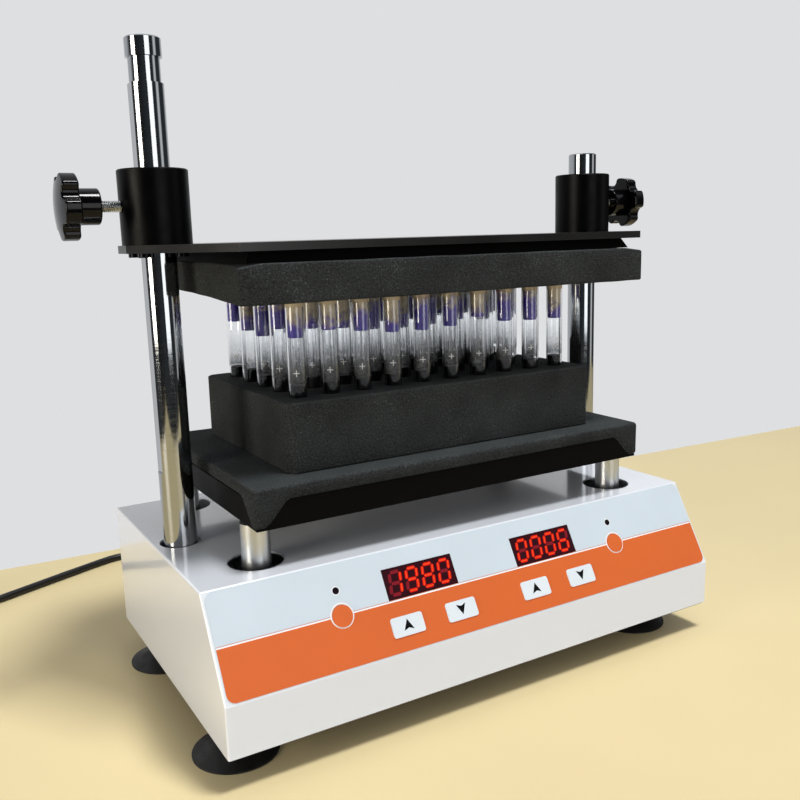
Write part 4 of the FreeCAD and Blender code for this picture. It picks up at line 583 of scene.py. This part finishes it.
def printed(name, slope, outline, material, level, body="base", slot="overlay_film",
            base=FILM_LIFT, holes=()):
    """A flat printed area a hair above the film; its level orders the prints that overlap."""
    lift = base + level * PRINT_LIFT
    work = bmesh.new()
    rim = [work.verts.new(slope.at(x, s, lift)) for x, s in outline]
    if not holes:
        work.faces.new(rim)
    else:
        edges = [work.edges.new((a, b)) for a, b in zip(rim, rim[1:] + rim[:1])]
        for hole in holes:
            inner = [work.verts.new(slope.at(x, s, lift)) for x, s in hole]
            edges += [work.edges.new((a, b)) for a, b in zip(inner, inner[1:] + inner[:1])]
        bmesh.ops.triangle_fill(work, use_beauty=True, use_dissolve=False, edges=edges)
    bmesh.ops.recalc_face_normals(work, faces=work.faces)
    if sum(f.normal.dot(slope.out) for f in work.faces) < 0:
        bmesh.ops.reverse_faces(work, faces=work.faces)
    mesh = bpy.data.meshes.new(name)
    work.to_mesh(mesh)
    work.free()
    return finished(name, mesh, material, body, slot, outward=False)


def disc(x, s, radius, steps=48):
    """Outline of a circle on the slope."""
    return [(x + radius * math.cos(2 * math.pi * i / steps), s + radius * math.sin(2 * math.pi * i / steps))
            for i in range(steps)]


def box_middle(name, slope):
    """A node's middle on the slope, as x and s."""
    low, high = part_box(name)
    middle = (Vector(low) + Vector(high)) / 2
    return middle.x, (middle - Vector((middle.x, slope.front, slope.foot))).dot(slope.up)


ROUND_KEYS = ["short_mix_key", "start_key"]
ARROW_KEYS = ["speed_up_key", "speed_down_key", "time_up_key", "time_down_key"]

# Middles of the two displays: to the right, and up the slope
WINDOWS = {"speed": -57.6 * MM, "time": 54.0 * MM}
WINDOW_UP = 47.4 * MM

# Lit segments of each digit: top, upper right, lower right, bottom, lower left, upper left, middle
SEGMENTS = {"0": "abcdef", "1": "bc", "6": "acdefg", "8": "abcdefg", "9": "abcdfg"}


def segment_shapes(look, thin=1.0):
    """The seven strokes of a digit about its own middle, pointed at both ends."""
    half_w, half_h = look.digit_width / 2, look.digit_height / 2
    gap = 0.25 * MM
    tip = gap + look.stroke * 0.15 * (2 - thin)
    runs = {
        "a": ((-half_w, half_h), (half_w, half_h)), "b": ((half_w, half_h), (half_w, 0)),
        "c": ((half_w, 0), (half_w, -half_h)), "d": ((-half_w, -half_h), (half_w, -half_h)),
        "e": ((-half_w, 0), (-half_w, -half_h)), "f": ((-half_w, half_h), (-half_w, 0)),
        "g": ((-half_w, 0), (half_w, 0)),
    }
    shapes = {}
    for name, (start, end) in runs.items():
        start, end = Vector(start), Vector(end)
        along = (end - start).normalized()
        side = Vector((-along.y, along.x)) * look.stroke * thin / 2
        inset = along * (look.stroke / 2 + gap)
        shapes[name] = [start + along * tip, start + inset + side, end - inset + side,
                        end - along * tip, end - inset - side, start + inset - side]
    return shapes


def digits(name, slope, look, reading, centre_x, wanted, material, level, thin=1.0):
    """All segments of one display that are lit, or all that are dark, as one piece."""
    verts, faces = [], []
    shapes = segment_shapes(look, thin)
    lift = FILM_LIFT + level * PRINT_LIFT
    for place_in, digit in enumerate(reading):
        x = centre_x + (place_in - (len(reading) - 1) / 2) * look.digit_pitch
        for letter, outline in shapes.items():
            if (letter in SEGMENTS[digit]) != wanted:
                continue
            first = len(verts)
            verts += [slope.at(x + p[0] + p[1] * look.slant, WINDOW_UP + p[1], lift) for p in outline]
            faces.append(tuple(range(first, first + len(outline))))
    made = piece(name, verts, faces, material, "base", "display_red")
    if made.data.polygons[0].normal.dot(slope.out) < 0:
        made.data.flip_normals()
    return made


# Operators, one for each group of like pieces

class CameraMaker(bpy.types.Operator):
    """Camera at the photograph's viewpoint"""
    bl_idname = "tubemixer.camera"
    bl_label = "Camera"

    def execute(self, context):
        scene = context.scene
        turn, dip, roll = VIEW_TURN, VIEW_DIP, VIEW_ROLL
        ahead = Vector((math.sin(turn) * math.cos(dip), math.cos(turn) * math.cos(dip), -math.sin(dip)))
        level = Vector((math.cos(turn), -math.sin(turn), 0))
        below = ahead.cross(level)
        right = level * math.cos(roll) + below * math.sin(roll)
        down = below * math.cos(roll) - level * math.sin(roll)
        data = bpy.data.cameras.new("photo_camera")
        data.sensor_width = 36.0
        data.lens = VIEW_LENS
        data.clip_start = 0.02
        camera = bpy.data.objects.new("photo_camera", data)
        scene.collection.objects.link(camera)
        spin = Matrix((right, -down, -ahead)).transposed().to_4x4()
        camera.matrix_world = Matrix.Translation(VIEW_FROM) @ spin
        scene.camera = camera
        return {"FINISHED"}


class StageMaker(bpy.types.Operator):
    """Pale table, plain background and soft lamps"""
    bl_idname = "tubemixer.stage"
    bl_label = "Stage"

    def execute(self, context):
        scene = context.scene
        look = scene.stage_look
        left, right = look.left, look.right
        edge = [look.back_edge + look.edge_turn * x for x in (left, right)]
        corners = [(left, look.near, 0), (right, look.near, 0), (right, edge[1], 0), (left, edge[0], 0)]
        mesh = bpy.data.meshes.new("table")
        mesh.from_pydata(corners, [], [(0, 1, 2, 3)])
        mesh.materials.append(table_top(look))
        table = bpy.data.objects.new("table", mesh)
        scene.collection.objects.link(table)
        self.sky(scene, look)
        self.lamp(scene, "key_light", (0.5, -0.75, 3.0), (0.0, 0.0, 0.0), 0.6, 73)
        self.lamp(scene, "front_light", (0.3, -2.8, 0.6), (0.0, 0.0, 0.1), 1.4, 16)
        self.lamp(scene, "left_light", (-2.6, -0.5, 0.5), (0.0, 0.0, 0.1), 1.0, 36, (1.0, 0.92, 0.8))
        scene.view_settings.view_transform = "Standard"
        return {"FINISHED"}

    def sky(self, scene, look):
        """A pale wall all round; metal sees it behind the table, and a dimmer room before it."""
        world = bpy.data.worlds.new("room")
        scene.world = world
        world.use_nodes = True
        tree = world.node_tree
        tree.nodes.clear()
        path = node(tree, "ShaderNodeLightPath")
        outward = node(tree, "ShaderNodeTexCoord").outputs["Generated"]
        heading = node(tree, "ShaderNodeSeparateXYZ", {"Vector": outward})
        turn = node(tree, "ShaderNodeMath", {0: heading.outputs["Y"], 1: heading.outputs["X"]},
                    operation="ARCTAN2")
        wall, dim, window = linear(look.wall), linear(look.room), linear("#FFFFFF")
        darker = tuple(c * 0.3 for c in dim[:3]) + (1.0,)
        compass = span(tree, turn.outputs[0], -math.pi, math.pi)
        around = ramp(tree, compass, (0.0, dim), (0.08, darker), (0.2, dim), (0.27, darker), (0.38, dim),
                      (0.4, window), (0.43, window), (0.45, dim), (0.55, dim), (0.6, wall), (0.9, wall),
                      (0.96, dim))
        daylight = ramp(tree, heading.outputs["Z"], (0.0, linear("#F3BE7C")), (0.3, linear("#DCE2EA")))
        plain = node(tree, "ShaderNodeBackground", {"Color": daylight, "Strength": 0.36})
        seen = node(tree, "ShaderNodeBackground", {"Color": wall, "Strength": 1.0})
        mirrored = node(tree, "ShaderNodeBackground", {"Color": around, "Strength": 1.0})
        clear = node(tree, "ShaderNodeMath", {0: path.outputs["Is Camera Ray"],
                                              1: path.outputs["Is Transmission Ray"]}, operation="MAXIMUM")
        shown = node(tree, "ShaderNodeMixShader", {0: path.outputs["Is Glossy Ray"], 1: plain.outputs[0],
                                                   2: mirrored.outputs[0]})
        mixed = node(tree, "ShaderNodeMixShader",
                     {0: clear.outputs[0], 1: shown.outputs[0], 2: seen.outputs[0]})
        node(tree, "ShaderNodeOutputWorld", {"Surface": mixed.outputs[0]})

    def lamp(self, scene, name, where, target, size, power, tint=(1.0, 1.0, 1.0)):
        data = bpy.data.lights.new(name, "AREA")
        data.color = tint
        data.size = size
        data.energy = power
        lamp = bpy.data.objects.new(name, data)
        lamp.location = where
        lamp.rotation_euler = (Vector(target) - Vector(where)).to_track_quat("-Z", "Y").to_euler()
        scene.collection.objects.link(lamp)


class HousingMaker(bpy.types.Operator):
    """Finishes of the housing, its feet and its back"""
    bl_idname = "tubemixer.housing"
    bl_label = "Housing"

    def execute(self, context):
        white = powder_coat("white_enamel", "#E4E9F0", 0.24, 0.27, pebble=1.4, depth=0.001, coat=1.0,
                            shine=0.4)
        black = powder_coat("black_powder_coat", "#0A0A0B", 0.4, 0.52)
        dress("housing_shell", white)
        dress("rear_panel", white)
        dress("base_pan", black)
        dress("suction_feet", soft_rubber("black_rubber", "#0F0F10"))
        zinc = plated("zinc_plate", "#BDBBB4")
        for name in ("rear_panel_screws", "foot_screws", "drive_bolts"):
            dress(name, zinc)
        dress("collar_screws", plated("black_oxide", "#1B1C1E"))
        black_plastic = moulded("black_polyamide", "#151516", 0.4, 0.55)
        for name in ("power_inlet", "switch_rocker", "key_switches"):
            dress(name, black_plastic)
        return {"FINISHED"}


class PanelMaker(bpy.types.Operator):
    """Overlay film, its prints, displays, lamps and keys"""
    bl_idname = "tubemixer.panel"
    bl_label = "Control panel"

    def execute(self, context):
        look = context.scene.panel_look
        slope = Slope(look)
        pale = film("overlay_film", look.film)
        band = film("band_ink", look.band)
        white = film("white_ink", "#F2F3F4")
        black = film("black_ink", "#0A0C0E", shine=0.1)
        dress("control_overlay", pale)
        side, top = look.print_side, look.band_top
        area = rounded_outline((-side, look.print_low), (side, top), (look.corner, look.corner, 0, 0))
        printed("printed_band", slope, area, band, 1)
        line = rounded_outline((-side, top), (side, top + look.line), (0, 0, 0, 0))
        printed("white_line", slope, line, white, 1)
        low = top + look.line + look.stripe_gap
        stripe = rounded_outline((-side, low), (side, low + look.stripe), (0, 0, 0, 0))
        printed("fine_stripe", slope, stripe, band, 1)
        self.keys(slope, look, band, white, black)
        self.displays(slope, look)
        return {"FINISHED"}

    def keys(self, slope, look, band, white, black):
        for name in ROUND_KEYS:
            dress(name, band)
            x, s = box_middle(name, slope)
            low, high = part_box(name)
            radius = (high[0] - low[0]) / 2
            ring = disc(x, s, radius + look.key_ring)
            printed(name + "_ring", slope, ring, white, 3, holes=[disc(x, s, radius + 0.2 * MM)])
        key_film = film("pale_key_film", "#DCE5EC", 0.3)
        for name in ARROW_KEYS:
            dress(name, key_film)
            x, s = box_middle(name, slope)
            wide = look.arrow
            tall = wide if "up" in name else -wide
            arrow = [(0, 0.975), (-1, -0.925), (0, -0.55), (1, -0.925)]
            outline = [(x + a * wide, s + b * tall) for a, b in arrow]
            printed(name + "_arrow", slope, outline, black, 1, name + "_cap", "pale_key", KEY_FACE)

    def displays(self, slope, look):
        dress("display_windows", moulded("tinted_window", "#2E0A14", 0.3, 0.4, depth=0.0, shine=0.12))
        dress("led_displays", moulded("display_body", "#16090A", 0.4, 0.5))
        dress("status_lamps", moulded("unlit_lamp", "#150A12", 0.25, 0.35, shine=0.15))
        white = film("lamp_ring_ink", "#E6EBEF")
        low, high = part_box("status_lamps")
        inner = look.lamp_radius + 0.15 * MM
        for name, x in (("left_lamp", low[0] + look.lamp_radius), ("right_lamp", high[0] - look.lamp_radius)):
            ring = disc(x, look.lamp_up, inner + look.lamp_ring)
            printed(name + "_ring", slope, ring, white, 2, holes=[disc(x, look.lamp_up, inner)])
        lit = glow("lit_segment", "#F01408", 1.0)
        core = glow("lit_core", "#FF5420", 1.0)
        unlit = moulded("unlit_segment", "#7C1824", 0.4, 0.5, shine=0.1)
        for name, reading in (("speed", look.speed_reading), ("time", look.time_reading)):
            x = WINDOWS[name]
            digits(name + "_unlit", slope, look, reading, x, False, unlit, 1)
            digits(name + "_lit", slope, look, reading, x, True, lit, 2)
            digits(name + "_core", slope, look, reading, x, True, core, 3, look.core)


class DriveMaker(bpy.types.Operator):
    """Finishes of the drive and the boards inside the housing"""
    bl_idname = "tubemixer.drive"
    bl_label = "Drive"

    def execute(self, context):
        steel = turned_metal("turned_steel", "#A9AAAC", 0.2, 0.34)
        light = turned_metal("turned_aluminium", "#C5C7CA", 0.26, 0.4)
        cast = cast_metal()
        for name in ("eccentric_shaft", "counterweight", "idler_crank_left", "idler_crank_right",
                     "drive_bearings", "platform_bearing"):
            dress(name, steel)
        for name in ("drive_pulley", "motor_pulley", "moving_plate"):
            dress(name, light)
        dress("drive_bearing_housing", cast)
        dress("idler_bearings", cast)
        dress("motor", plated("galvanised_case", "#9EA1A3", 0.4))
        dress("drive_belt", soft_rubber("black_neoprene", "#131313"))
        board = circuit_laminate()
        dress("control_board", board)
        dress("power_board", board)
        return {"FINISHED"}


class PlatformMaker(bpy.types.Operator):
    """Posts, tray and moving metal"""
    bl_idname = "tubemixer.platform"
    bl_label = "Platform"

    def execute(self, context):
        chrome = chromed()
        dress("left_post", chrome)
        dress("right_post", chrome)
        dress("tray_posts", turned_metal("ground_steel", "#C6C9CC", 0.33, 0.37, 0.8))
        dress("tray", powder_coat("black_tray_coat", "#09090A", 0.4, 0.52, shine=0.03))
        return {"FINISHED"}


class FoamMaker(bpy.types.Operator):
    """Foam pads and the foam tube rack"""
    bl_idname = "tubemixer.foam"
    bl_label = "Foam"

    def execute(self, context):
        scene = context.scene
        look = scene.foam_look
        tubes = scene.tube_look
        foam = open_foam(look)

        # Unseeded, this noise starts from the clock and shifts in every run
        noise.seed_set(look.seed)
        self.lower(look, foam)
        self.upper(look, foam)
        self.rack(look, tubes, foam)
        return {"FINISHED"}

    def pad(self, name, verts, faces, foam, body, replaced, fill):
        made = piece(name, verts, faces, foam, body, "grey_foam", smooth=True, angle=60)
        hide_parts(replaced)
        return made

    def waver(self, point, amount, seed):
        """Shift a point as an uneven cut through foam does."""
        shift = noise.noise_vector(point * 38 + Vector((seed, 0, 0)))
        return point + shift * amount

    def lower(self, look, foam):
        low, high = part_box("lower_foam")
        tray_low, tray_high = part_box("tray")
        rim, floor = tray_high[2], tray_low[2]
        fold, ease = 1.2 * MM, 3 * MM

        def held(value, lowest, highest, along, ends, z):
            """How far a point is drawn in behind the tray's wall, which is cut away near its corners."""
            corner = min(along - ends[0], ends[1] - along)
            open_to = look.open_foot + (look.open_rim - look.open_foot) * (z - floor) / (rim - floor)
            below = min(max((rim + 1.0 * MM - z) / fold, 0), 1)
            drawn = below * min(max((corner - open_to) / ease, 0), 1)
            return value + (min(max(value, lowest + look.tuck), highest - look.tuck) - value) * drawn

        def moved(point):
            x = held(point.x, tray_low[0], tray_high[0], point.y, (tray_low[1], tray_high[1]), point.z)
            y = held(point.y, tray_low[1], tray_high[1], point.x, (tray_low[0], tray_high[0]), point.z)
            return self.waver(Vector((x, y, point.z)), look.waver * 0.6, 3)

        verts, faces = soft_block(low, high, look.crown, look.cell, moved)
        self.pad("lower_pad", verts, faces, foam, "platform", "lower_foam", 0.9)

    def upper(self, look, foam):
        low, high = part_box("upper_foam")
        pan_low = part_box("upper_pan")[0]
        top = pan_low[2]
        droop_end = pan_low[1] + 30 * MM
        sags_from, rises_from = 0.9, 0.93

        def moved(point):
            """The pad's free ends sag at the front, rise a little at the back and curl up at the left."""
            reach = abs(point.x) / high[0]
            back = (point.y - low[1]) / (high[1] - low[1])
            upper_part = (point.z - low[2]) / (top - low[2])
            front = min(max((droop_end - point.y) / look.sag_depth, 0), 1)
            droop = look.sag * front * max(0.0, reach - sags_from) / (1 - sags_from)
            rise = look.rise * min(max(back, 0), 1) * max(0.0, reach - rises_from) / (1 - rises_from)
            z = point.z + (rise - droop) * upper_part
            at_left = min(max((look.curl_width - (point.x - low[0])) / look.curl_width, 0), 1)
            z += look.curl * (1 - (1 - back) ** 2) * at_left ** 1.5 * (1 - upper_part)
            return self.waver(Vector((point.x, point.y, z)), look.waver, 11)

        verts, faces = soft_block(low, (high[0], high[1], top - 0.2 * MM), look.round, look.cell, moved)
        self.pad("upper_pad", verts, faces, foam, "clamp", "upper_foam", 0.9)

    def rack(self, look, tubes, foam):
        low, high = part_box("tube_rack")
        centre_y = (low[1] + high[1]) / 2

        def moved(point):
            x, y = point.x, point.y
            over = (abs(x) - high[0]) + (abs(y - centre_y) - (high[1] - centre_y)) + look.rack_corner
            if over > 0:
                x -= math.copysign(over / 2, x)
                y -= math.copysign(over / 2, y - centre_y)
            return self.waver(Vector((x, y, point.z)), look.waver, 7)

        verts, faces = soft_block(low, high, look.round, look.cell, moved)
        block = working("rack", verts, faces)
        well = [(look.well, low[2] + look.well_floor), (look.well, high[2] + 5 * MM)]
        ring, walls = lathe(well, 24)
        drill_verts, drill_faces = [], []
        for column in range(tubes.columns):
            for row in range(tubes.rows):
                x = (column - (tubes.columns - 1) / 2) * tubes.column_pitch
                y = tubes.middle + (row - (tubes.rows - 1) / 2) * tubes.row_pitch
                first = len(drill_verts)
                drill_verts += [(x + a, y + b, c) for a, b, c in ring]
                drill_faces += [tuple(first + i for i in face) for face in walls]
        drill = working("drill", drill_verts, drill_faces)
        cut = block.modifiers.new("wells", "BOOLEAN")
        cut.object = drill
        cut.solver = "EXACT"
        mesh = plain_mesh("foam_rack", block)
        bpy.data.objects.remove(drill, do_unlink=True)
        made = finished("foam_rack", mesh, foam, "platform", "grey_foam", smooth=True, angle=50)
        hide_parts("tube_rack")


def rack_tree():
    """Geometry nodes that stand copies of a shape in rows and columns, each a little longer or shorter."""
    tree = bpy.data.node_groups.new("rack_rows", "GeometryNodeTree")
    sockets = {"Shape": "Geometry", "Columns": "Int", "Rows": "Int", "Width": "Float", "Depth": "Float",
               "Middle": "Vector", "Shortest": "Float", "Longest": "Float", "Seed": "Int",
               "Finish": "Material"}
    for name, kind in sockets.items():
        tree.interface.new_socket(name, in_out="INPUT", socket_type="NodeSocket" + kind)
    tree.interface.new_socket("Shape", in_out="OUTPUT", socket_type="NodeSocketGeometry")
    given = node(tree, "NodeGroupInput").outputs
    grid = node(tree, "GeometryNodeMeshGrid", {"Size X": given["Width"], "Size Y": given["Depth"],
                                               "Vertices X": given["Columns"], "Vertices Y": given["Rows"]})
    moved = node(tree, "GeometryNodeSetPosition",
                 {"Geometry": grid.outputs["Mesh"], "Offset": given["Middle"]})
    length = node(tree, "FunctionNodeRandomValue", {"Seed": given["Seed"]}, data_type="FLOAT")
    tree.links.new(given["Shortest"], length.inputs[2])
    tree.links.new(given["Longest"], length.inputs[3])
    scale = node(tree, "ShaderNodeCombineXYZ", {"X": 1.0, "Y": 1.0, "Z": length.outputs[1]})
    copies = node(tree, "GeometryNodeInstanceOnPoints",
                  {"Points": moved.outputs[0], "Instance": given["Shape"], "Scale": scale.outputs[0]})
    tone = node(tree, "FunctionNodeRandomValue", {"Seed": 77}, data_type="FLOAT")
    marked = node(tree, "GeometryNodeStoreNamedAttribute",
                  {"Geometry": copies.outputs[0], "Name": "tone", "Value": tone.outputs[1]},
                  data_type="FLOAT", domain="INSTANCE")
    real = node(tree, "GeometryNodeRealizeInstances", {"Geometry": marked.outputs[0]})
    finish = node(tree, "GeometryNodeSetMaterial", {"Geometry": real.outputs[0], "Material": given["Finish"]})
    node(tree, "NodeGroupOutput", {"Shape": finish.outputs[0]})
    return tree


class TubeMaker(bpy.types.Operator):
    """Glass tubes, their contents and their stoppers"""
    bl_idname = "tubemixer.tubes"
    bl_label = "Tubes"

    def execute(self, context):
        look = context.scene.tube_look
        low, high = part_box("tubes")
        filled = low[2] + look.fill_height
        dress("tubes", drawn_glass(filled + 1.5 * MM, filled + 34 * MM))
        tree = rack_tree()
        radius = look.bore - 0.15 * MM
        turns = [math.radians(a) for a in (12, 35, 60, 90)]
        bottom = [(radius * math.sin(turn), radius * (1 - math.cos(turn))) for turn in turns]
        shape = lathe(bottom + [(radius, look.fill_height), (0.3 * radius, look.fill_height - 0.3 * MM)], 20)
        self.rows("tube_contents", shape, tree, look, low[2] + look.bottom, (0.95, 1.04), 5, dark_contents(),
                  "stopper_rubber")
        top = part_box("stoppers")[1][2]
        wide = look.bore + 0.9 * MM
        length, head = look.stopper_length, look.head
        shape = lathe([(radius - 0.6 * MM, -length), (radius, -length + 0.6 * MM), (radius, -head),
                       (wide, -head), (wide, -0.8 * MM), (wide - 0.8 * MM, 0)], 24)
        rubber = stained_rubber(top - 34.5 * MM, top - 0.5 * MM)
        made = self.rows("rubber_stoppers", shape, tree, look, top, (0.82, 1.1), 9, rubber, "stopper_rubber")
        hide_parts("stoppers")
        outer = (high[0] - low[0] - (look.columns - 1) * look.column_pitch) / 2
        mark = self.cross(look, outer + 0.05 * MM)
        self.rows("tube_marks", mark, tree, look, low[2] + look.mark_height, (0.95, 1.05), 3,
                  film("glass_print", "#C6CBCE"), "clear_glass")
        return {"FINISHED"}

    def cross(self, look, radius):
        """A printed cross that follows the round of the tube."""
        verts, faces = [], []
        half, thin = look.mark_width / 2, look.mark_width / 16

        def sheet(width, low, high, steps):
            first = len(verts)
            for i in range(steps + 1):
                turn = look.mark_turn + (2 * i / steps - 1) * width / radius
                for height in (low, high):
                    verts.append((radius * math.cos(turn), radius * math.sin(turn), height))
            for i in range(steps):
                a = first + 2 * i
                faces.append((a, a + 2, a + 3, a + 1))

        sheet(half, -thin, thin, 8)
        sheet(thin, thin, half, 2)
        sheet(thin, -half, -thin, 2)
        return verts, faces

    def rows(self, name, shape, tree, look, height, lengths, seed, material, slot):
        """Stand a shape in every place of the rack, between a shortest and a longest length."""
        work = working(name, *shape)
        nodes = work.modifiers.new("rows", "NODES")
        nodes.node_group = tree
        values = {
            "Columns": look.columns, "Rows": look.rows, "Width": look.column_pitch * (look.columns - 1),
            "Depth": look.row_pitch * (look.rows - 1), "Middle": (0.0, look.middle, height),
            "Shortest": lengths[0], "Longest": lengths[1], "Seed": seed, "Finish": material,
        }
        for item in tree.interface.items_tree:
            if item.in_out == "INPUT" and item.name in values:
                nodes[item.identifier] = values[item.name]
        return finished(name, plain_mesh(name, work), material, "platform", slot, smooth=True, angle=40)


class ClampMaker(bpy.types.Operator):
    """Top plate, collars, knobs and their threaded studs"""
    bl_idname = "tubemixer.clamp"
    bl_label = "Clamp"

    def execute(self, context):
        look = context.scene.clamp_look
        dress("top_plate", powder_coat("black_plate_coat", "#0A0A0B", 0.26, 0.36, shine=0.4))
        dress("upper_pan", powder_coat("black_pan_coat", "#070708", 0.4, 0.5, shine=0.1))
        anodised = moulded("black_anodised", "#020203", 0.32, 0.42, depth=0.003, shine=0.07)
        dress("left_collar", anodised)
        dress("right_collar", anodised)
        phenolic = moulded("phenolic_resin", "#050507", 0.08, 0.16, depth=0.003, shine=0.18)
        dress("left_knob", phenolic)
        dress("right_knob", phenolic)
        nylon = moulded("white_nylon", "#D8D6CE", 0.4, 0.5)
        zinc = plated("zinc_thread", "#CDCFD0")
        for side in ("left", "right"):
            dress(side + "_clamp_pad", nylon)
            self.thread(look, side + "_thread", side + "_stud", side + "_screw", zinc)
        return {"FINISHED"}

    def thread(self, look, name, stud, body, material):
        """A real helical thread in place of the plain stud."""
        low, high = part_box(stud)
        y, z = (low[1] + high[1]) / 2, (low[2] + high[2]) / 2
        outer, depth, pitch = (high[1] - low[1]) / 2, look.thread_depth, look.thread_pitch
        around = 24
        rings = round((high[0] - low[0]) / pitch * 8)
        verts, faces = [], []
        for i in range(rings + 1):
            x = low[0] + (high[0] - low[0]) * i / rings
            for j in range(around):
                turn = 2 * math.pi * j / around
                phase = ((x - low[0]) / pitch + j / around) % 1
                radius = outer - depth * abs(2 * phase - 1)
                if i in (0, rings):
                    radius = outer - depth
                verts.append((x, y + radius * math.cos(turn), z + radius * math.sin(turn)))
        for i in range(rings):
            for j in range(around):
                k = (j + 1) % around
                faces.append((i * around + j, i * around + k, (i + 1) * around + k, (i + 1) * around + j))
        faces.append(tuple(range(around)))
        faces.append(tuple(range(rings * around, (rings + 1) * around)))
        made = piece(name, verts, faces, material, body, "zinc", smooth=True, angle=30)
        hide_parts(stud)


class CordMaker(bpy.types.Operator):
    """Mains cord with its coil, tie, connector and plug"""
    bl_idname = "tubemixer.cord"
    bl_label = "Cord"

    def execute(self, context):
        vinyl = moulded("black_vinyl", "#0C0C0D", 0.3, 0.42, depth=0.02)
        cord = self.curve(context.scene, vinyl)
        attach(cord, "base")
        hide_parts("cord", "cord_coil")
        fittings = ("connector", "plug", "coil_tie")
        for name in fittings:
            dress(name, vinyl)
        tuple(CORD_ROUTE[0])
        return {"FINISHED"}

    def curve(self, scene, material):
        data = bpy.data.curves.new("mains_cord", "CURVE")
        data.dimensions = "3D"
        data.bevel_depth = CORD_WIDTH / 2
        data.bevel_resolution = 4
        data.resolution_u = 6
        data.use_fill_caps = True
        points = CORD_ROUTE + self.coil()
        line = data.splines.new("NURBS")
        line.points.add(len(points) - 1)
        for spot, (x, y, z) in zip(line.points, points):
            spot.co = (x, y, z, 1)
        line.order_u = 3
        line.use_endpoint_u = True
        data.materials.append(material)
        cord = bpy.data.objects.new("mains_cord", data)
        scene.collection.objects.link(cord)
        return cord

    def coil(self):
        """Six turns: three on the table from the outside in, three on them outwards, then into the plug."""
        low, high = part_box("cord_coil")
        centre = Vector(((low[0] + high[0]) / 2, (low[1] + high[1]) / 2, 0))
        laps, steps, start, flat, raised = 6, 20, math.radians(-78), 3.7 * MM, 9.9 * MM
        outer = (high[0] - low[0]) / 2 - 4.5 * MM
        turns = [(outer, flat), (outer - CORD_WIDTH, flat), (outer - 14.2 * MM, flat),
                 (outer - 17.2 * MM, raised), (outer - 11 * MM, raised), (outer - 4 * MM, raised),
                 (outer - 4 * MM, raised)]
        points = []
        for i in range(steps * laps + 1):
            lap = i / steps
            now, later = turns[int(lap)], turns[min(int(lap) + 1, laps)]
            share = min(max((lap % 1 - 0.6) / 0.4, 0), 1)
            radius = now[0] + (later[0] - now[0]) * share
            turn = start - 2 * math.pi * lap
            height = now[1] + (later[1] - now[1]) * share
            points.append((centre.x + radius * math.cos(turn), centre.y + radius * math.sin(turn), height))
        plug_low, plug_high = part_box("plug")
        x, y, z = points[-1]
        for along in (0.5, 1.0):
            points.append((x + (plug_high[0] - 3 * MM - x) * along, y - 1.5 * MM, z + 0.6 * MM * along))
        return points


# The camera and the cord come first
MAKERS = [CameraMaker, StageMaker, CordMaker, HousingMaker, PanelMaker, DriveMaker, PlatformMaker, FoamMaker,
          TubeMaker, ClampMaker]
LOOKS = {"panel_look": PanelLook, "foam_look": FoamLook, "tube_look": TubeLook, "clamp_look": ClampLook,
         "stage_look": StageLook}


class TubeMixerPanel(bpy.types.Panel):
    """Buttons for the operators"""
    bl_idname = "VIEW3D_PT_tube_mixer"
    bl_label = "Tube Mixer"
    bl_space_type = "VIEW_3D"
    bl_region_type = "UI"
    bl_category = "Tube Mixer"

    def draw(self, context):
        for maker in MAKERS:
            self.layout.operator(maker.bl_idname)


def register():
    for name, look in LOOKS.items():
        bpy.utils.register_class(look)
        setattr(bpy.types.Scene, name, bpy.props.PointerProperty(type=look))
    for maker in MAKERS:
        bpy.utils.register_class(maker)
    bpy.utils.register_class(TubeMixerPanel)


def unregister():
    bpy.utils.unregister_class(TubeMixerPanel)
    for maker in reversed(MAKERS):
        bpy.utils.unregister_class(maker)
    for name, look in LOOKS.items():
        delattr(bpy.types.Scene, name)
        bpy.utils.unregister_class(look)


def main():
    register()
    for maker in MAKERS:
        group, name = maker.bl_idname.split(".")
        getattr(getattr(bpy.ops, group), name)()


if __name__ == "__main__":
    main()
